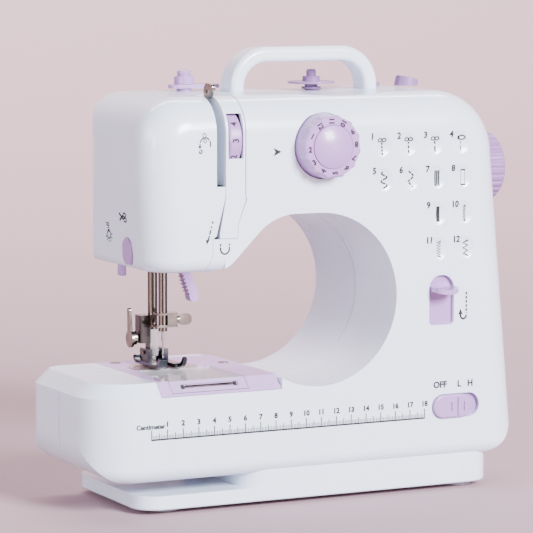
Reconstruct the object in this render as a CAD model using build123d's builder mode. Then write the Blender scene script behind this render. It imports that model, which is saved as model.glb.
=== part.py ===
# A small two-speed household sewing machine with a round-throated white casing and lilac controls.
# Frame: +X towards the handwheel, -Y towards the person sewing, +Z up, millimetres.
# The origin is on the table, under the middle of the machine's bounding box.
import math
import os

from build123d import *

os.makedirs("parts", exist_ok=True)

# ---- driving dimensions --------------------------------------------------------------------
front_y, back_y = -45.0, 60.0  # casing front and back planes
depth = back_y - front_y
split_y = (front_y + back_y) / 2  # where the front and rear covers meet
wall = 2.6  # moulded wall thickness
gap, panel_gap = 0.3, 0.6  # gap at the seams between covers, and beside the guide panel

left_x = -145.0  # bed's left end
head_left_x = -111.0
head_left_low_x = -107.5  # the head narrows a little towards its underside
right_top_x, right_low_x = 121.0, 141.0  # the column widens downwards
top_z, bed_z, body_low_z, head_low_z = 241.5, 77.5, 19.5, 140.5
throat_r, throat_z = 51.5, 121.0  # round throat, centred on x = 0
edge_r, back_edge_r = 21.5, 9.0  # soft front edges, tighter back edges
head_back_r = 32.0  # the head's back left corner, seen from above
bed_chamfer = 8.0
crease_z = 188.0  # the front face slopes in below this line
facet = 6.5  # depth of that slope at the throat's edge

needle_x, needle_y = -74.5, 15.0
presser_y = 30.0
shaft_y, shaft_z = 5.0, 192.0  # main shaft, along X
shaft_r = 4.0
dial_x, dial_z = 2.5, 211.7
hook_x, hook_y = -72.0, -2.5
lower_shaft_z = 36.0
slot_x0, slot_x1 = -67.0, -61.5  # take-up lever slot
strip_x0, strip_x1 = -61.3, -49.0  # thread guide panel beside the slot
seam_low_z = 160.0  # lower end of that panel


def save(piece, name):
    """Labels a finished piece and writes it as its own STEP file."""
    piece.part.label = name
    export_step(piece.part, f"parts/{name}.step")


def xz(y):
    """The plane y = const, with its normal towards the user."""
    return Plane.XZ.offset(-y)


def box_between(x0, x1, y0, y1, z0, z1):
    """A plain box from its two corners, outside any builder."""
    return Pos((x0 + x1) / 2, (y0 + y1) / 2, (z0 + z1) / 2) * Box(x1 - x0, y1 - y0, z1 - z0)


def block(x0, x1, y0, y1, z0, z1, mode=Mode.ADD):
    """A box from its two corners, in the piece being built."""
    with Locations(((x0 + x1) / 2, (y0 + y1) / 2, (z0 + z1) / 2)):
        Box(x1 - x0, y1 - y0, z1 - z0, mode=mode)


def post(x, y, z0, z1, radius, mode=Mode.ADD):
    """An upright round post or hole."""
    with Locations((x, y, (z0 + z1) / 2)):
        Cylinder(radius, z1 - z0, mode=mode)


def bar_y(x, z, y0, y1, radius, mode=Mode.ADD):
    """A round bar or hole that runs front to back."""
    with Locations((x, (y0 + y1) / 2, z)):
        Cylinder(radius, y1 - y0, rotation=(90, 0, 0), mode=mode)


def bar_x(y, z, x0, x1, radius, mode=Mode.ADD):
    """A round bar or hole that runs left to right."""
    with Locations(((x0 + x1) / 2, y, z)):
        Cylinder(radius, x1 - x0, rotation=(0, 90, 0), mode=mode)


def prism_y(points, y0, y1):
    """A closed outline of (x, z) points, extruded from y0 to y1."""
    with BuildPart(mode=Mode.PRIVATE) as prism:
        with BuildSketch(xz(y1)):
            with BuildLine():
                Polyline(*points, close=True)
            make_face()
        extrude(amount=y1 - y0)
    return prism.part


def rod(start, end, radius):
    """A round bar between two points."""
    start, end = Vector(*start), Vector(*end)
    axis = end - start
    plane = Plane(origin=start, z_dir=axis)
    return plane * Pos(0, 0, axis.length / 2) * Cylinder(radius, axis.length)


def middle(edge):
    return edge @ 0.5


# ---- casing --------------------------------------------------------------------------------
def casing_block(inset):
    """The machine's outline as one rounded block, before the throat is cut, shrunk by inset."""
    y0, y1 = front_y + inset, back_y - inset
    low, bed, top = body_low_z + inset, bed_z - inset, top_z - inset
    under = head_low_z + inset
    left, head_left = left_x + inset, head_left_x + inset
    with BuildPart(mode=Mode.PRIVATE) as block:
        with BuildSketch(xz(y1)) as outline:
            with BuildLine():
                Polyline(
                    (left, low), (left, bed), (-62 - inset, bed), (-62 - inset, under),
                    (head_left_low_x + inset, under), (head_left, 200), (head_left, top),
                    (right_top_x - inset, top), (right_low_x - inset, low), close=True,
                )
            make_face()
            for x, z, radius in ((head_left, top, 28), (right_top_x - inset, top, 38)):
                corner = outline.vertices().sort_by_distance(Vector(x, z))[0]
                fillet(corner, radius - inset)
        extrude(amount=y1 - y0)
    part = block.part
    for y, radius in ((y0, 30), (y1, 20)):
        upright = [
            e for e in part.edges()
            if abs(middle(e).Y - y) < 0.1 and abs(middle(e).X - left) < 0.1
        ]
        part = part.fillet(radius - inset, upright)
    for y, radius in ((y0, edge_r), (y1, back_edge_r)):
        rim = [
            e for e in part.edges()
            if abs(middle(e).Y - y) < 0.1 and middle(e).Z > low + 1
            and (middle(e).Z > bed + 30 or middle(e).X > 100)
            and abs(middle(e).Z - under) > 1 and abs(middle(e).X + 62 + inset) > 0.5
        ]
        part = part.fillet(radius - inset, rim)
    under_head = [
        e for e in part.edges() if abs(middle(e).Z - under) < 1 and middle(e).X < -66
    ]
    part = part.fillet(8 - inset, under_head)
    bed_rim = [e for e in part.edges() if abs(middle(e).Z - bed) < 1 and middle(e).X < -66]
    part = part.chamfer(bed_chamfer - 0.4 * inset, None, bed_rim)
    base_rim = [e for e in part.edges() if abs(middle(e).Z - low) < 1]
    part = part.fillet(9 - inset, base_rim)
    return part


def end_rounding(inset):
    """What is cut from the casing's lower left and right ends to round them in the front view."""
    low = body_low_z + inset
    ends = ((left_x + inset, 1, 25 - inset), (right_low_x - 0.8 - inset, -1, 34 - inset))
    cuts = []
    for x, side, radius in ends:
        with BuildPart(mode=Mode.PRIVATE) as cut:
            with BuildSketch(xz(back_y + 1)):
                with Locations((x + side * radius / 2 - side * 10, low + radius / 2 - 10)):
                    Rectangle(radius + 20, radius + 20)
                with Locations((x + side * radius, low + radius)):
                    Circle(radius, mode=Mode.SUBTRACT)
            extrude(amount=depth + 2)
        cuts.append(cut.part)
    return cuts


def head_rounding(inset):
    """What is cut from the head's back left corner to round it when seen from above."""
    radius = head_back_r - inset
    corner_x, corner_y = head_left_x + inset, back_y - inset
    with BuildPart(mode=Mode.PRIVATE) as cut:
        with BuildSketch(Plane.XY.offset(120)):
            with Locations((corner_x + radius / 2 - 5, corner_y - radius / 2 + 5)):
                Rectangle(radius + 10, radius + 10)
            with Locations((corner_x + radius, corner_y - radius)):
                Circle(radius, mode=Mode.SUBTRACT)
        extrude(amount=140)
    return cut.part


def throat(grow):
    """The open space under the head and arm, grown by the given amount."""
    r = throat_r + grow
    bed = bed_z - grow
    under = head_low_z + grow
    start = math.degrees(math.atan2(bed - throat_z, -math.sqrt(r * r - (throat_z - bed) ** 2)))
    corners = ((-30 - 0.4 * grow, throat_z + r, 34), (-62 - 0.6 * grow, under, 22), (-28, bed, 14))
    with BuildPart(mode=Mode.PRIVATE) as space:
        with BuildSketch(xz(back_y + 1)) as outline:
            with BuildLine():
                arc = CenterArc((0, throat_z), r, start, 90 - start)
                Polyline(
                    arc @ 1, corners[0][:2], corners[1][:2], (-175, under), (-175, bed), arc @ 0
                )
            make_face()
            for x, z, radius in corners:
                corner = outline.vertices().sort_by_distance(Vector(x, z))[0]
                fillet(corner, radius)
        extrude(amount=depth + 2)
    return space.part


def throat_slope(shift):
    """What is cut from the front face so that it slopes in towards the throat."""
    far = -175
    with BuildSketch(xz(front_y - 1 + shift), mode=Mode.PRIVATE) as rim:
        with BuildLine():
            upper = CenterArc((-5, 115), crease_z + 0.5 - 115, 90, -90)
            lower = CenterArc((16.7, 115), 51.8, 0, -90)
            Polyline(lower @ 1, (-31, 69.9), (far, 69.9), (far, crease_z + 0.5), upper @ 0)
        make_face()
    r = throat_r - 0.5
    under = head_low_z - 0.3
    with BuildSketch(xz(front_y + facet + shift), mode=Mode.PRIVATE) as edge:
        with BuildLine():
            CenterArc((0, throat_z), r, -90, 180)
            low = Polyline((0, throat_z - r), (-31, 77), (far, 77), (far, under), (-86, under))
            bend = TangentArc(low @ 1, (-51, 149.5), tangent=(1, 0))
            rise = Line(bend @ 1, (-40, 159.5))
            crown = ThreePointArc(rise @ 1, (-27, 168.4), (-11, throat_z + r))
            Line(crown @ 1, (0, throat_z + r))
        make_face()
    return Solid.make_loft([rim.face().outer_wire(), edge.face().outer_wire()], ruled=True)


def top_scoop(inset):
    """A shallow hollow across the arm's top, under the carrying handle."""
    radius, sag, middle_x = 300.0, 1.5, 24.0
    axis_z = top_z - inset + radius - sag
    return rod((middle_x, front_y - 1, axis_z), (middle_x, back_y + 1, axis_z), radius)


def casing_solid(inset):
    part = casing_block(inset)
    for cut in end_rounding(inset):
        part -= cut
    part -= throat(inset)
    part -= throat_slope(inset)
    part -= top_scoop(inset)
    part -= head_rounding(inset)
    return part


outer = casing_solid(0)
inner = casing_solid(wall)
shell = outer - inner

# ---- seams and openings that several covers share ------------------------------------------
# The cap at the head's left end meets the arm along a line beside the take-up slot.
face_seam = [
    (-67.2, 250), (-67.2, 190), (-61.7, 190), (-61.7, 184), (-67.5, 161.5), (-70, 160.2),
    (-70, 150), (-75.5, 138),
]
face_zone = prism_y([(-125, 250)] + face_seam + [(-125, 138)], front_y - 2, back_y + 2)
beyond_face = prism_y(
    [(x + gap, z) for x, z in face_seam] + [(-125, 138), (-125, 250)], front_y - 3, back_y + 3
)
panel_back_y = -14.0  # the slot and the panel beside it run over the top to here
panel_outline = [
    (strip_x0, 250), (strip_x0, 184), (-65.2, 163), (-65.2, seam_low_z), (-54, seam_low_z),
    (-53.7, 168), (-48.5, 182), (strip_x1, 184), (strip_x1, 250),
]
panel_zone = prism_y(panel_outline, front_y - 2, panel_back_y - gap)
slot_and_panel = prism_y(
    [(-69, 250), (-69, seam_low_z - gap), (-54 + gap, seam_low_z - gap), (-53.7 + gap, 168),
     (-48.5 + panel_gap, 182), (strip_x1 + panel_gap, 184), (strip_x1 + panel_gap, 250)],
    front_y - 3, panel_back_y,
)
front_half = box_between(-160, 160, front_y - 5, split_y - gap / 2, 0, 260)
rear_half = box_between(-160, 160, split_y + gap / 2, back_y + 5, 0, 260)

# The bars and the presser lifter come out through one opening under the head.
bar_opening = box_between(-84, -66, 8, 40, 132, 158)
lifter_opening = box_between(-66.5, -44, 21, 34, 130, 166)

# The lilac trim lies in a cut-out of the bed and folds down over its front edge.
trim_x0, trim_x1, trim_back = -102.4, -25.2, 52.8
trim_profile = [
    (trim_back, 77.6), (-37.1, 77.6), (-44.95, 69.75), (-40.8, 69.75), (-35.95, 74.6),
    (trim_back, 74.6),
]
trim_cut = box_between(trim_x0 - 0.2, trim_x1 + 0.2, front_y - 1, trim_back + 0.2, 69.5, 80)

# The handle's two legs pass through the casing's top.
handle_x0, handle_x1, handle_y0, handle_y1 = -33.0, 66.0, 6.0, 24.0
handle_top, handle_bar, handle_corner = 268.0, 9.0, 24.0
leg_holes = [
    box_between(x - 0.3, x + handle_bar + 0.3, handle_y0 - 0.3, handle_y1 + 0.3, 224, 250)
    for x in (handle_x0, handle_x1 - handle_bar)
]
shaft_exit = rod((112, shaft_y, shaft_z), (135, shaft_y, shaft_z), 6.5)
shared_cuts = (beyond_face, trim_cut, bar_opening, lifter_opening, shaft_exit, *leg_holes)

# ---- front cover ---------------------------------------------------------------------------
dial_recess_r, dial_floor_y, dial_bore_r = 19.7, -41.2, 5.05
reverse_x0, reverse_x1, reverse_z0, reverse_z1 = 73.7, 90.9, 101.3, 131.5
switch_x0, switch_x1, switch_z0, switch_z1 = 76.0, 108.9, 44.2, 59.0
plate_y0, plate_y1 = -42.1, -40.1  # the sliding plates behind the front wall
dimple_r, dimple_depth = 7.2, 1.3
dimple_sphere = (dimple_r**2 + dimple_depth**2) / (2 * dimple_depth)
dimple_rows = [
    (211.0, (40.0, 58.0, 76.0, 93.9)), (190.5, (41.5, 59.5, 77.5, 95.3)),
    (168.8, (78.3, 96.6)), (147.6, (79.1, 97.6)),
]
dimple_centres = [(x, z) for z, row in dimple_rows for x in row]
dial_boss = outer & rod((dial_x, -44.5, dial_z), (dial_x, -38.4, dial_z), 22.5)
base_screw_places = [(-34, -24), (98, -24), (-34, 38), (98, 38)]

with BuildPart() as front_cover:
    add(shell)
    add(rear_half, mode=Mode.SUBTRACT)
    block(-160, 160, split_y - gap, split_y + gap, 0, 260, mode=Mode.SUBTRACT)
    add(dial_boss)
    for cut in (*shared_cuts, slot_and_panel):
        add(cut, mode=Mode.SUBTRACT)
    bar_y(dial_x, dial_z, -64, dial_floor_y, dial_recess_r, mode=Mode.SUBTRACT)
    bar_y(dial_x, dial_z, -64, -30, dial_bore_r, mode=Mode.SUBTRACT)
    for x, z in dimple_centres:
        with Locations((x, front_y - dimple_sphere + dimple_depth, z)):
            Sphere(dimple_sphere, mode=Mode.SUBTRACT)
    with BuildSketch(xz(-40)) as reverse_slot:
        with Locations(((reverse_x0 + reverse_x1) / 2, (reverse_z0 + reverse_z1) / 2)):
            Rectangle(reverse_x1 - reverse_x0, reverse_z1 - reverse_z0)
        fillet(reverse_slot.vertices().group_by(Axis.Y)[-1], 8)
        fillet(reverse_slot.vertices().group_by(Axis.Y)[0], 2.5)
    extrude(amount=8, mode=Mode.SUBTRACT)
    with BuildSketch(xz(-40)):
        with Locations(((switch_x0 + switch_x1) / 2, (switch_z0 + switch_z1) / 2)):
            SlotOverall(switch_x1 - switch_x0, switch_z1 - switch_z0)
    extrude(amount=8, mode=Mode.SUBTRACT)
    # rails that hold the sliding plates against the wall
    for rail_x, lip_x0, lip_x1 in ((69.4, 69.4, 73.0), (94.0, 92.0, 95.6)):
        block(rail_x, rail_x + 1.6, -42.6, -38, 84, 148)
        block(lip_x0, lip_x1, -39.8, -38, 84, 148)
    for rail_z, lip_z0, lip_z1 in ((39.6, 39.6, 43.0), (62.0, 60.2, 63.6)):
        block(69, 117, -42.6, -38, rail_z, rail_z + 1.6)
        block(69, 117, -39.8, -38, lip_z0, lip_z1)
    for x, y in base_screw_places[:2]:
        post(x, y, body_low_z + 1, 34, 5)
        post(x, y, body_low_z - 1, 36, 1.9, mode=Mode.SUBTRACT)
save(front_cover, "front_cover")

# ---- rear cover ----------------------------------------------------------------------------
frame_back_y = 50.0  # rear face of the cast frame
screw_seat_y = 52.5
rear_screw_places = [(-80, 196), (-30, 215), (80, 205), (98, 132), (100, 60), (-112, 44), (-10, 44)]
spool_x, spool_y = 36.0, 37.0
winder_x, winder_y = 78.0, 41.0
stop_x, stop_y = 101.0, 34.0
guide_x, guide_y = -51.0, 35.0
jack_x0, jack_x1, jack_z0, jack_z1 = 99.0, 121.0, 31.0, 43.0

with BuildPart() as rear_cover:
    add(shell)
    add(front_half, mode=Mode.SUBTRACT)
    block(-160, 160, split_y - gap, split_y + gap, 0, 260, mode=Mode.SUBTRACT)
    for cut in shared_cuts:
        add(cut, mode=Mode.SUBTRACT)
    for x, z in rear_screw_places[1:]:
        bar_y(x, z, frame_back_y, back_y - wall + 0.2, 6.5)
        bar_y(x, z, screw_seat_y, back_y + 1, 4.4, mode=Mode.SUBTRACT)
        bar_y(x, z, 40, back_y, 2.0, mode=Mode.SUBTRACT)
    for x, y in base_screw_places[2:]:
        post(x, y, body_low_z + 1, 34, 5)
        post(x, y, body_low_z - 1, 36, 1.9, mode=Mode.SUBTRACT)
    with Locations(((jack_x0 + jack_x1) / 2, back_y - 1.5, (jack_z0 + jack_z1) / 2)):
        Box(jack_x1 - jack_x0 + 0.4, 5, jack_z1 - jack_z0 + 0.4, mode=Mode.SUBTRACT)
    post(spool_x, spool_y, 230, 250, 4.05, mode=Mode.SUBTRACT)
    post(winder_x, winder_y, 225, 250, 3.2, mode=Mode.SUBTRACT)
    with GridLocations(5.5, 1, 6, 1):
        with Locations((72, back_y - 2, 150)):
            Box(2.4, 10, 30, mode=Mode.SUBTRACT)
save(rear_cover, "rear_cover")

# ---- face cover: the cap over the needle mechanism -----------------------------------------
button_y, button_z = -10.5, 151.6
button_width, button_height, button_corner_r, button_tilt = 12.6, 15.6, 5.4, 8.0
lens_x0, lens_x1, lens_y0, lens_y1 = -97.0, -78.0, -32.0, -16.0
cutter_x0, cutter_x1, cutter_y0, cutter_y1 = -101.0, -97.0, 16.5, 22.5


def button_prism(grow, x0, x1):
    """The lamp button's slightly slanted pad, from x0 to x1."""
    width, height = button_width + 2 * grow, button_height + 2 * grow
    with BuildPart(mode=Mode.PRIVATE) as pad:
        with BuildSketch(Plane.YZ.offset(x0)):
            with Locations((button_y, button_z)):
                RectangleRounded(width, height, button_corner_r + grow, rotation=-button_tilt)
        extrude(amount=x1 - x0)
    return pad.part


def slot_flange(x0, x1, depth_in):
    """A wall along one side of the take-up slot, following the casing's front and top."""
    low = 190.3
    near = wall - 0.4
    bend_y, bend_z = front_y + edge_r, top_z - edge_r
    with BuildPart(mode=Mode.PRIVATE) as flange:
        with BuildSketch(Plane.YZ.offset(x0)):
            with BuildLine():
                far_side = Line((front_y + near, low), (front_y + near, bend_z))
                outer_bend = RadiusArc(far_side @ 1, (bend_y, top_z - near), edge_r - near)
                over = Line(outer_bend @ 1, (panel_back_y - gap, top_z - near))
                down = Line(over @ 1, (panel_back_y - gap, top_z - depth_in))
                back = Line(down @ 1, (bend_y, top_z - depth_in))
                inner_bend = RadiusArc(back @ 1, (front_y + depth_in, bend_z), depth_in - edge_r)
                last = Line(inner_bend @ 1, (front_y + depth_in, low))
                Line(last @ 1, far_side @ 0)
            make_face()
        extrude(amount=x1 - x0)
    return flange.part


face_flange = slot_flange(-68.6, slot_x0 - 0.2, 14)
button_hole = button_prism(0.25, -115, -95)

with BuildPart() as face_cover:
    add(shell)
    add(face_zone, mode=Mode.INTERSECT)
    add(face_flange)
    for cut in (bar_opening, lifter_opening, button_hole):
        add(cut, mode=Mode.SUBTRACT)
    block(lens_x0, lens_x1, lens_y0, lens_y1, 136, 146, mode=Mode.SUBTRACT)
    with Locations(((cutter_x0 + cutter_x1) / 2, (cutter_y0 + cutter_y1) / 2, 141)):
        Box(cutter_x1 - cutter_x0 + 0.2, cutter_y1 - cutter_y0 + 0.2, 10, mode=Mode.SUBTRACT)
    screw_x, screw_z = rear_screw_places[0]
    bar_y(screw_x, screw_z, frame_back_y, back_y - wall + 0.2, 6.5)
    bar_y(screw_x, screw_z, screw_seat_y, back_y + 1, 4.4, mode=Mode.SUBTRACT)
    bar_y(screw_x, screw_z, 40, back_y, 2.0, mode=Mode.SUBTRACT)
save(face_cover, "face_cover")

# ---- thread guide panel with the tension dial's window -------------------------------------
window_x0, window_x1, window_z0, window_z1 = -59.8, -50.2, 206.0, 232.0

panel_flange = slot_flange(strip_x0, strip_x0 + 1.3, 14)
panel_lip = prism_y([(-65.2, 163.6), (-65.2, 160.1), (-54.1, 160.1), (-54, 163.6)], -44.6, -40.5)

with BuildPart() as thread_guide_panel:
    add(shell)
    add(panel_zone, mode=Mode.INTERSECT)
    add(panel_flange)
    block(window_x0, window_x1, front_y - 1, -33, window_z0, window_z1, mode=Mode.SUBTRACT)
    # the raised lip at the foot of the panel, where the thread turns back up
    add(panel_lip)
save(thread_guide_panel, "thread_guide_panel")


# ---- base, feet and handle -----------------------------------------------------------------
base_x0, base_x1, base_y0, base_y1 = -115.0, 120.5, -42.2, 57.2
base_z0, base_step_z = 3.0, 11.6
step_x = -48.0  # left of this the base leaves a gap below the bed
foot_places = [(-92, -24), (104, -26), (-92, 42), (104, 42)]

base_levels = ((base_x0, base_z0, base_step_z), (step_x, base_step_z - 1, body_low_z + 6))
casing_seat = Pos(0, 0, -0.05) * outer

with BuildPart() as base_plate:
    for x0, z0, z1 in base_levels:
        with BuildSketch(Plane.XY.offset(z0)):
            with Locations(((x0 + base_x1) / 2, (base_y0 + base_y1) / 2)):
                RectangleRounded(base_x1 - x0, base_y1 - base_y0, 15)
        extrude(amount=z1 - z0)
    fillet(base_plate.edges().filter_by(Plane.XY).group_by(Axis.Z)[0], 1.5)
    # its rim rises to meet the casing's rounded lower edge
    add(casing_seat, mode=Mode.SUBTRACT)
    for x, y in foot_places:
        post(x, y, 0, base_z0 + 2, 9.1, mode=Mode.SUBTRACT)
    for x, y in base_screw_places:
        post(x, y, 0, 9, 4.5, mode=Mode.SUBTRACT)
        post(x, y, 0, 25, 2.1, mode=Mode.SUBTRACT)
save(base_plate, "base_plate")

with BuildPart() as rubber_feet:
    for x, y in foot_places:
        post(x, y, 0, base_z0 + 2, 9)
    fillet(rubber_feet.edges().group_by(Axis.Z)[0], 0.8)
save(rubber_feet, "rubber_feet")

with BuildPart() as base_screws:
    for x, y in base_screw_places:
        post(x, y, 6.4, 9, 3.6)
        post(x, y, 9, 30, 1.9)
save(base_screws, "base_screws")

with BuildPart() as carry_handle:
    with BuildSketch(xz(handle_y1)) as handle_outline:
        with BuildLine():
            Polyline(
                (handle_x0, 229), (handle_x0, handle_top), (handle_x1, handle_top),
                (handle_x1, 229), close=True,
            )
        make_face()
        fillet(handle_outline.vertices().group_by(Axis.Y)[-1], handle_corner)
        offset(amount=-handle_bar, mode=Mode.SUBTRACT)
        with Locations(((handle_x0 + handle_x1) / 2, 234)):
            Rectangle(handle_x1 - handle_x0 - 2 * handle_bar, 14, mode=Mode.SUBTRACT)
    extrude(amount=handle_y1 - handle_y0)
    long_edges = carry_handle.edges().filter_by(lambda e: abs(middle(e).Y - 15) > 8)
    fillet(long_edges.filter_by(lambda e: middle(e).Z > 231), 3.2)
    for x0 in (handle_x0, handle_x1 - handle_bar):
        block(x0 - 4, x0 + handle_bar + 4, handle_y0 - 4, handle_y1 + 4, 226, 229)
save(carry_handle, "carry_handle")

# ---- cast frame inside the covers ----------------------------------------------------------
frame_y0 = 46.0
upper_bearing_x = (-42.0, 92.0)
lower_bearing_x = (-50.0, 84.0)
lower_shaft_z = 35.0
motor_y, motor_z, motor_r = 30.8, 100.0, 15.0
hook_stem_r = 4.0
trim_screws = [(-91.8, 46.5), (-32.4, 19.8)]
bar_bushings = ((146, 156), (212, 222))

with BuildPart() as machine_frame:
    with BuildSketch(xz(frame_back_y)) as frame_outline:
        with Locations((8, 203)):
            Rectangle(208, 50)
        with Locations((86, 127)):
            Rectangle(52, 202)
        with Locations((-4, 46)):
            Rectangle(232, 40)
        with Locations((-80, 163)):
            Rectangle(32, 34)
    extrude(amount=frame_back_y - frame_y0)
    top_corners = machine_frame.edges().filter_by(Axis.Y).filter_by(lambda e: middle(e).Z > 220)
    fillet(top_corners.sort_by(Axis.X)[0], 20)
    fillet(top_corners.sort_by(Axis.X)[-1], 34)
    for x, z in rear_screw_places:
        bar_y(x, z, 40, 51, 1.95, mode=Mode.SUBTRACT)
    # shelf for the hook, with the bore its stem turns in
    block(-92, -54, -22, frame_y0 + 1, 42, 46)
    post(hook_x, hook_y, 40, 48, hook_stem_r + 0.05, mode=Mode.SUBTRACT)
    # lugs beside the feed bar
    for x0 in (-88.0, -64.0):
        block(x0, x0 + 3, 36, frame_y0 + 1, 52, 66)
    # arms that carry the trim's two screws
    block(-98, -87, 40, frame_y0 + 1, 62, 74.6)
    block(-38, -31, 14, frame_y0 + 1, 62, 74.6)
    for x, y in trim_screws:
        post(x, y, 60, 76, 1.5, mode=Mode.SUBTRACT)
    # arms that carry the needle mechanism's frame
    for z in (151, 217):
        block(-92, -65, 37, frame_y0 + 1, z - 5, z + 5)
save(machine_frame, "machine_frame")

lifter_cheek = prism_y(
    [(-69.6, 150.5), (-62, 150.5), (-52, 160.5), (-52, 166), (-68, 166), (-68, 156), (-69.6, 156)],
    33.5, 37,
)

with BuildPart() as head_frame:
    for z0, z1 in bar_bushings:
        block(-90, -69.5, 8, 37, z0, z1)
        post(needle_x, needle_y, z0 - 1, z1 + 1, 2.7, mode=Mode.SUBTRACT)
        post(needle_x, presser_y, z0 - 1, z1 + 1, 2.95, mode=Mode.SUBTRACT)
    block(-90, -86, -6, 37, 146, 222)
    bar_x(0, 210, -86.5, -62.8, 2.5)
    # cheek beside the presser bar that carries the lifter's pivot
    add(lifter_cheek)
    bar_y(-57, 153, 21.4, 34, 2.5)
save(head_frame, "head_frame")

with BuildPart() as shaft_bearings:
    for x in upper_bearing_x:
        block(x - 4, x + 4, -3, frame_y0, 184, 200)
    for x in lower_bearing_x:
        block(x - 4, x + 4, -3, frame_y0, 28, 42)
    bar_x(shaft_y, shaft_z, -60, 120, shaft_r + 0.05, mode=Mode.SUBTRACT)
    bar_x(shaft_y, lower_shaft_z, -60, 120, shaft_r + 0.05, mode=Mode.SUBTRACT)
save(shaft_bearings, "shaft_bearings")

# ---- drive: main shaft, crank, belts, motor and lower shaft --------------------------------
wheel_x0, wheel_x1, wheel_r = 128.4, 145.0, 21.0
belt_x, belt_width = 104.0, 6.0
timing_r = 9.0
drive_x = 114.0
drive_r, motor_pulley_r = 17.0, 5.5
belt_thickness = 1.4
crank_x0, crank_x1, crank_r = -58.0, -51.0, 19.0

with BuildPart() as main_shaft:
    bar_x(shaft_y, shaft_z, crank_x1 - 5, 138, shaft_r)
save(main_shaft, "main_shaft")

with BuildPart() as crank_disc:
    bar_x(shaft_y, shaft_z, crank_x0, crank_x1, crank_r)
    # cut away beside the pin, so that the rest is the counterweight
    for side in (-1, 1):
        with Locations((-54.5, shaft_y + side * 16, shaft_z + 12)):
            Box(9, 17, 26, mode=Mode.SUBTRACT)
    bar_x(shaft_y, shaft_z, crank_x0 - 1, crank_x1 + 1, shaft_r, mode=Mode.SUBTRACT)
    bar_x(shaft_y, shaft_z + 12.5, -62.3, crank_x0 + 1, 2.5)
save(crank_disc, "crank_disc")


def belt_loop(x, first, second):
    """A flat belt of even thickness round two pulleys given as (y, z, radius)."""
    with BuildPart(mode=Mode.PRIVATE) as loop:
        with BuildSketch(Plane.YZ.offset(x - belt_width / 2)):
            for grow, mode in ((belt_thickness, Mode.ADD), (0, Mode.SUBTRACT)):
                with BuildSketch(mode=Mode.PRIVATE) as band:
                    for y, z, radius in (first, second):
                        with Locations((y, z)):
                            Circle(radius + grow)
                    make_hull()
                add(band.sketch, mode=mode)
        extrude(amount=belt_width)
    return loop.part


upper_timing = (shaft_y, shaft_z, timing_r)
lower_timing = (shaft_y, lower_shaft_z, timing_r)
timing_loop = belt_loop(belt_x, upper_timing, lower_timing)
drive_loop = belt_loop(drive_x, (shaft_y, shaft_z, drive_r), (motor_y, motor_z, motor_pulley_r))
with BuildPart() as timing_belt:
    add(timing_loop)
save(timing_belt, "timing_belt")
with BuildPart() as drive_belt:
    add(drive_loop)
save(drive_belt, "drive_belt")

with BuildPart() as shaft_pulleys:
    bar_x(shaft_y, shaft_z, belt_x - 3, belt_x + 3, timing_r)
    bar_x(shaft_y, shaft_z, belt_x + 3, drive_x - 3, 7)
    bar_x(shaft_y, shaft_z, drive_x - 3, drive_x + 3, drive_r)
    bar_x(shaft_y, shaft_z, belt_x - 5, drive_x + 5, shaft_r, mode=Mode.SUBTRACT)
save(shaft_pulleys, "shaft_pulleys")

with BuildPart() as lower_shaft:
    bar_x(shaft_y, lower_shaft_z, -57, 108, shaft_r)
    with Locations(Location((-59.5, shaft_y, lower_shaft_z), (0, -90, 0))):
        Cone(6.5, 3.5, 5)
save(lower_shaft, "lower_shaft")

with BuildPart() as timing_pulley_lower:
    bar_x(shaft_y, lower_shaft_z, belt_x - 3, belt_x + 3, timing_r)
    bar_x(shaft_y, lower_shaft_z, belt_x - 5, belt_x + 5, shaft_r, mode=Mode.SUBTRACT)
save(timing_pulley_lower, "timing_pulley_lower")

with BuildPart() as motor:
    bar_x(motor_y, motor_z, 62, 106, motor_r)
    fillet(motor.edges(), 2)
    bar_x(motor_y, motor_z, 50, 120, 2.05, mode=Mode.SUBTRACT)
save(motor, "motor")

with BuildPart() as motor_pulley:
    bar_x(motor_y, motor_z, 63, drive_x + 4, 2)
    bar_x(motor_y, motor_z, drive_x - 3, drive_x + 3, motor_pulley_r)
save(motor_pulley, "motor_pulley")

with BuildPart() as handwheel:
    with BuildSketch(Plane.XY.offset(shaft_z)) as wheel_profile:
        with BuildLine():
            Polyline(
                (wheel_x0, shaft_y + 4), (wheel_x0, shaft_y + wheel_r - 2.5),
                (wheel_x0 + 2.5, shaft_y + wheel_r), (wheel_x1 - 2.5, shaft_y + wheel_r),
                (wheel_x1 - 0.6, shaft_y + wheel_r - 1.6), (wheel_x1, shaft_y + wheel_r - 4),
                (wheel_x1 - 2.4, shaft_y + 12), (wheel_x1 - 2.4, shaft_y), (138, shaft_y),
                (138, shaft_y + 4), close=True,
            )
        make_face()
    revolve(axis=Axis((0, shaft_y, shaft_z), (1, 0, 0)))
    for step in range(30):
        turn = math.radians(360 / 30 * step)
        y = shaft_y + (wheel_r + 0.9) * math.cos(turn)
        z = shaft_z + (wheel_r + 0.9) * math.sin(turn)
        bar_x(y, z, wheel_x0 + 3, wheel_x1 + 1, 1.6, mode=Mode.SUBTRACT)
save(handwheel, "handwheel")

# ---- stitch selector -----------------------------------------------------------------------
dial_tip_y, dial_face_y, dial_r = -60.0, -56.6, 17.6
dome_r = 12.6
dome_h = dial_face_y - 0.4 - dial_tip_y

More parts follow.
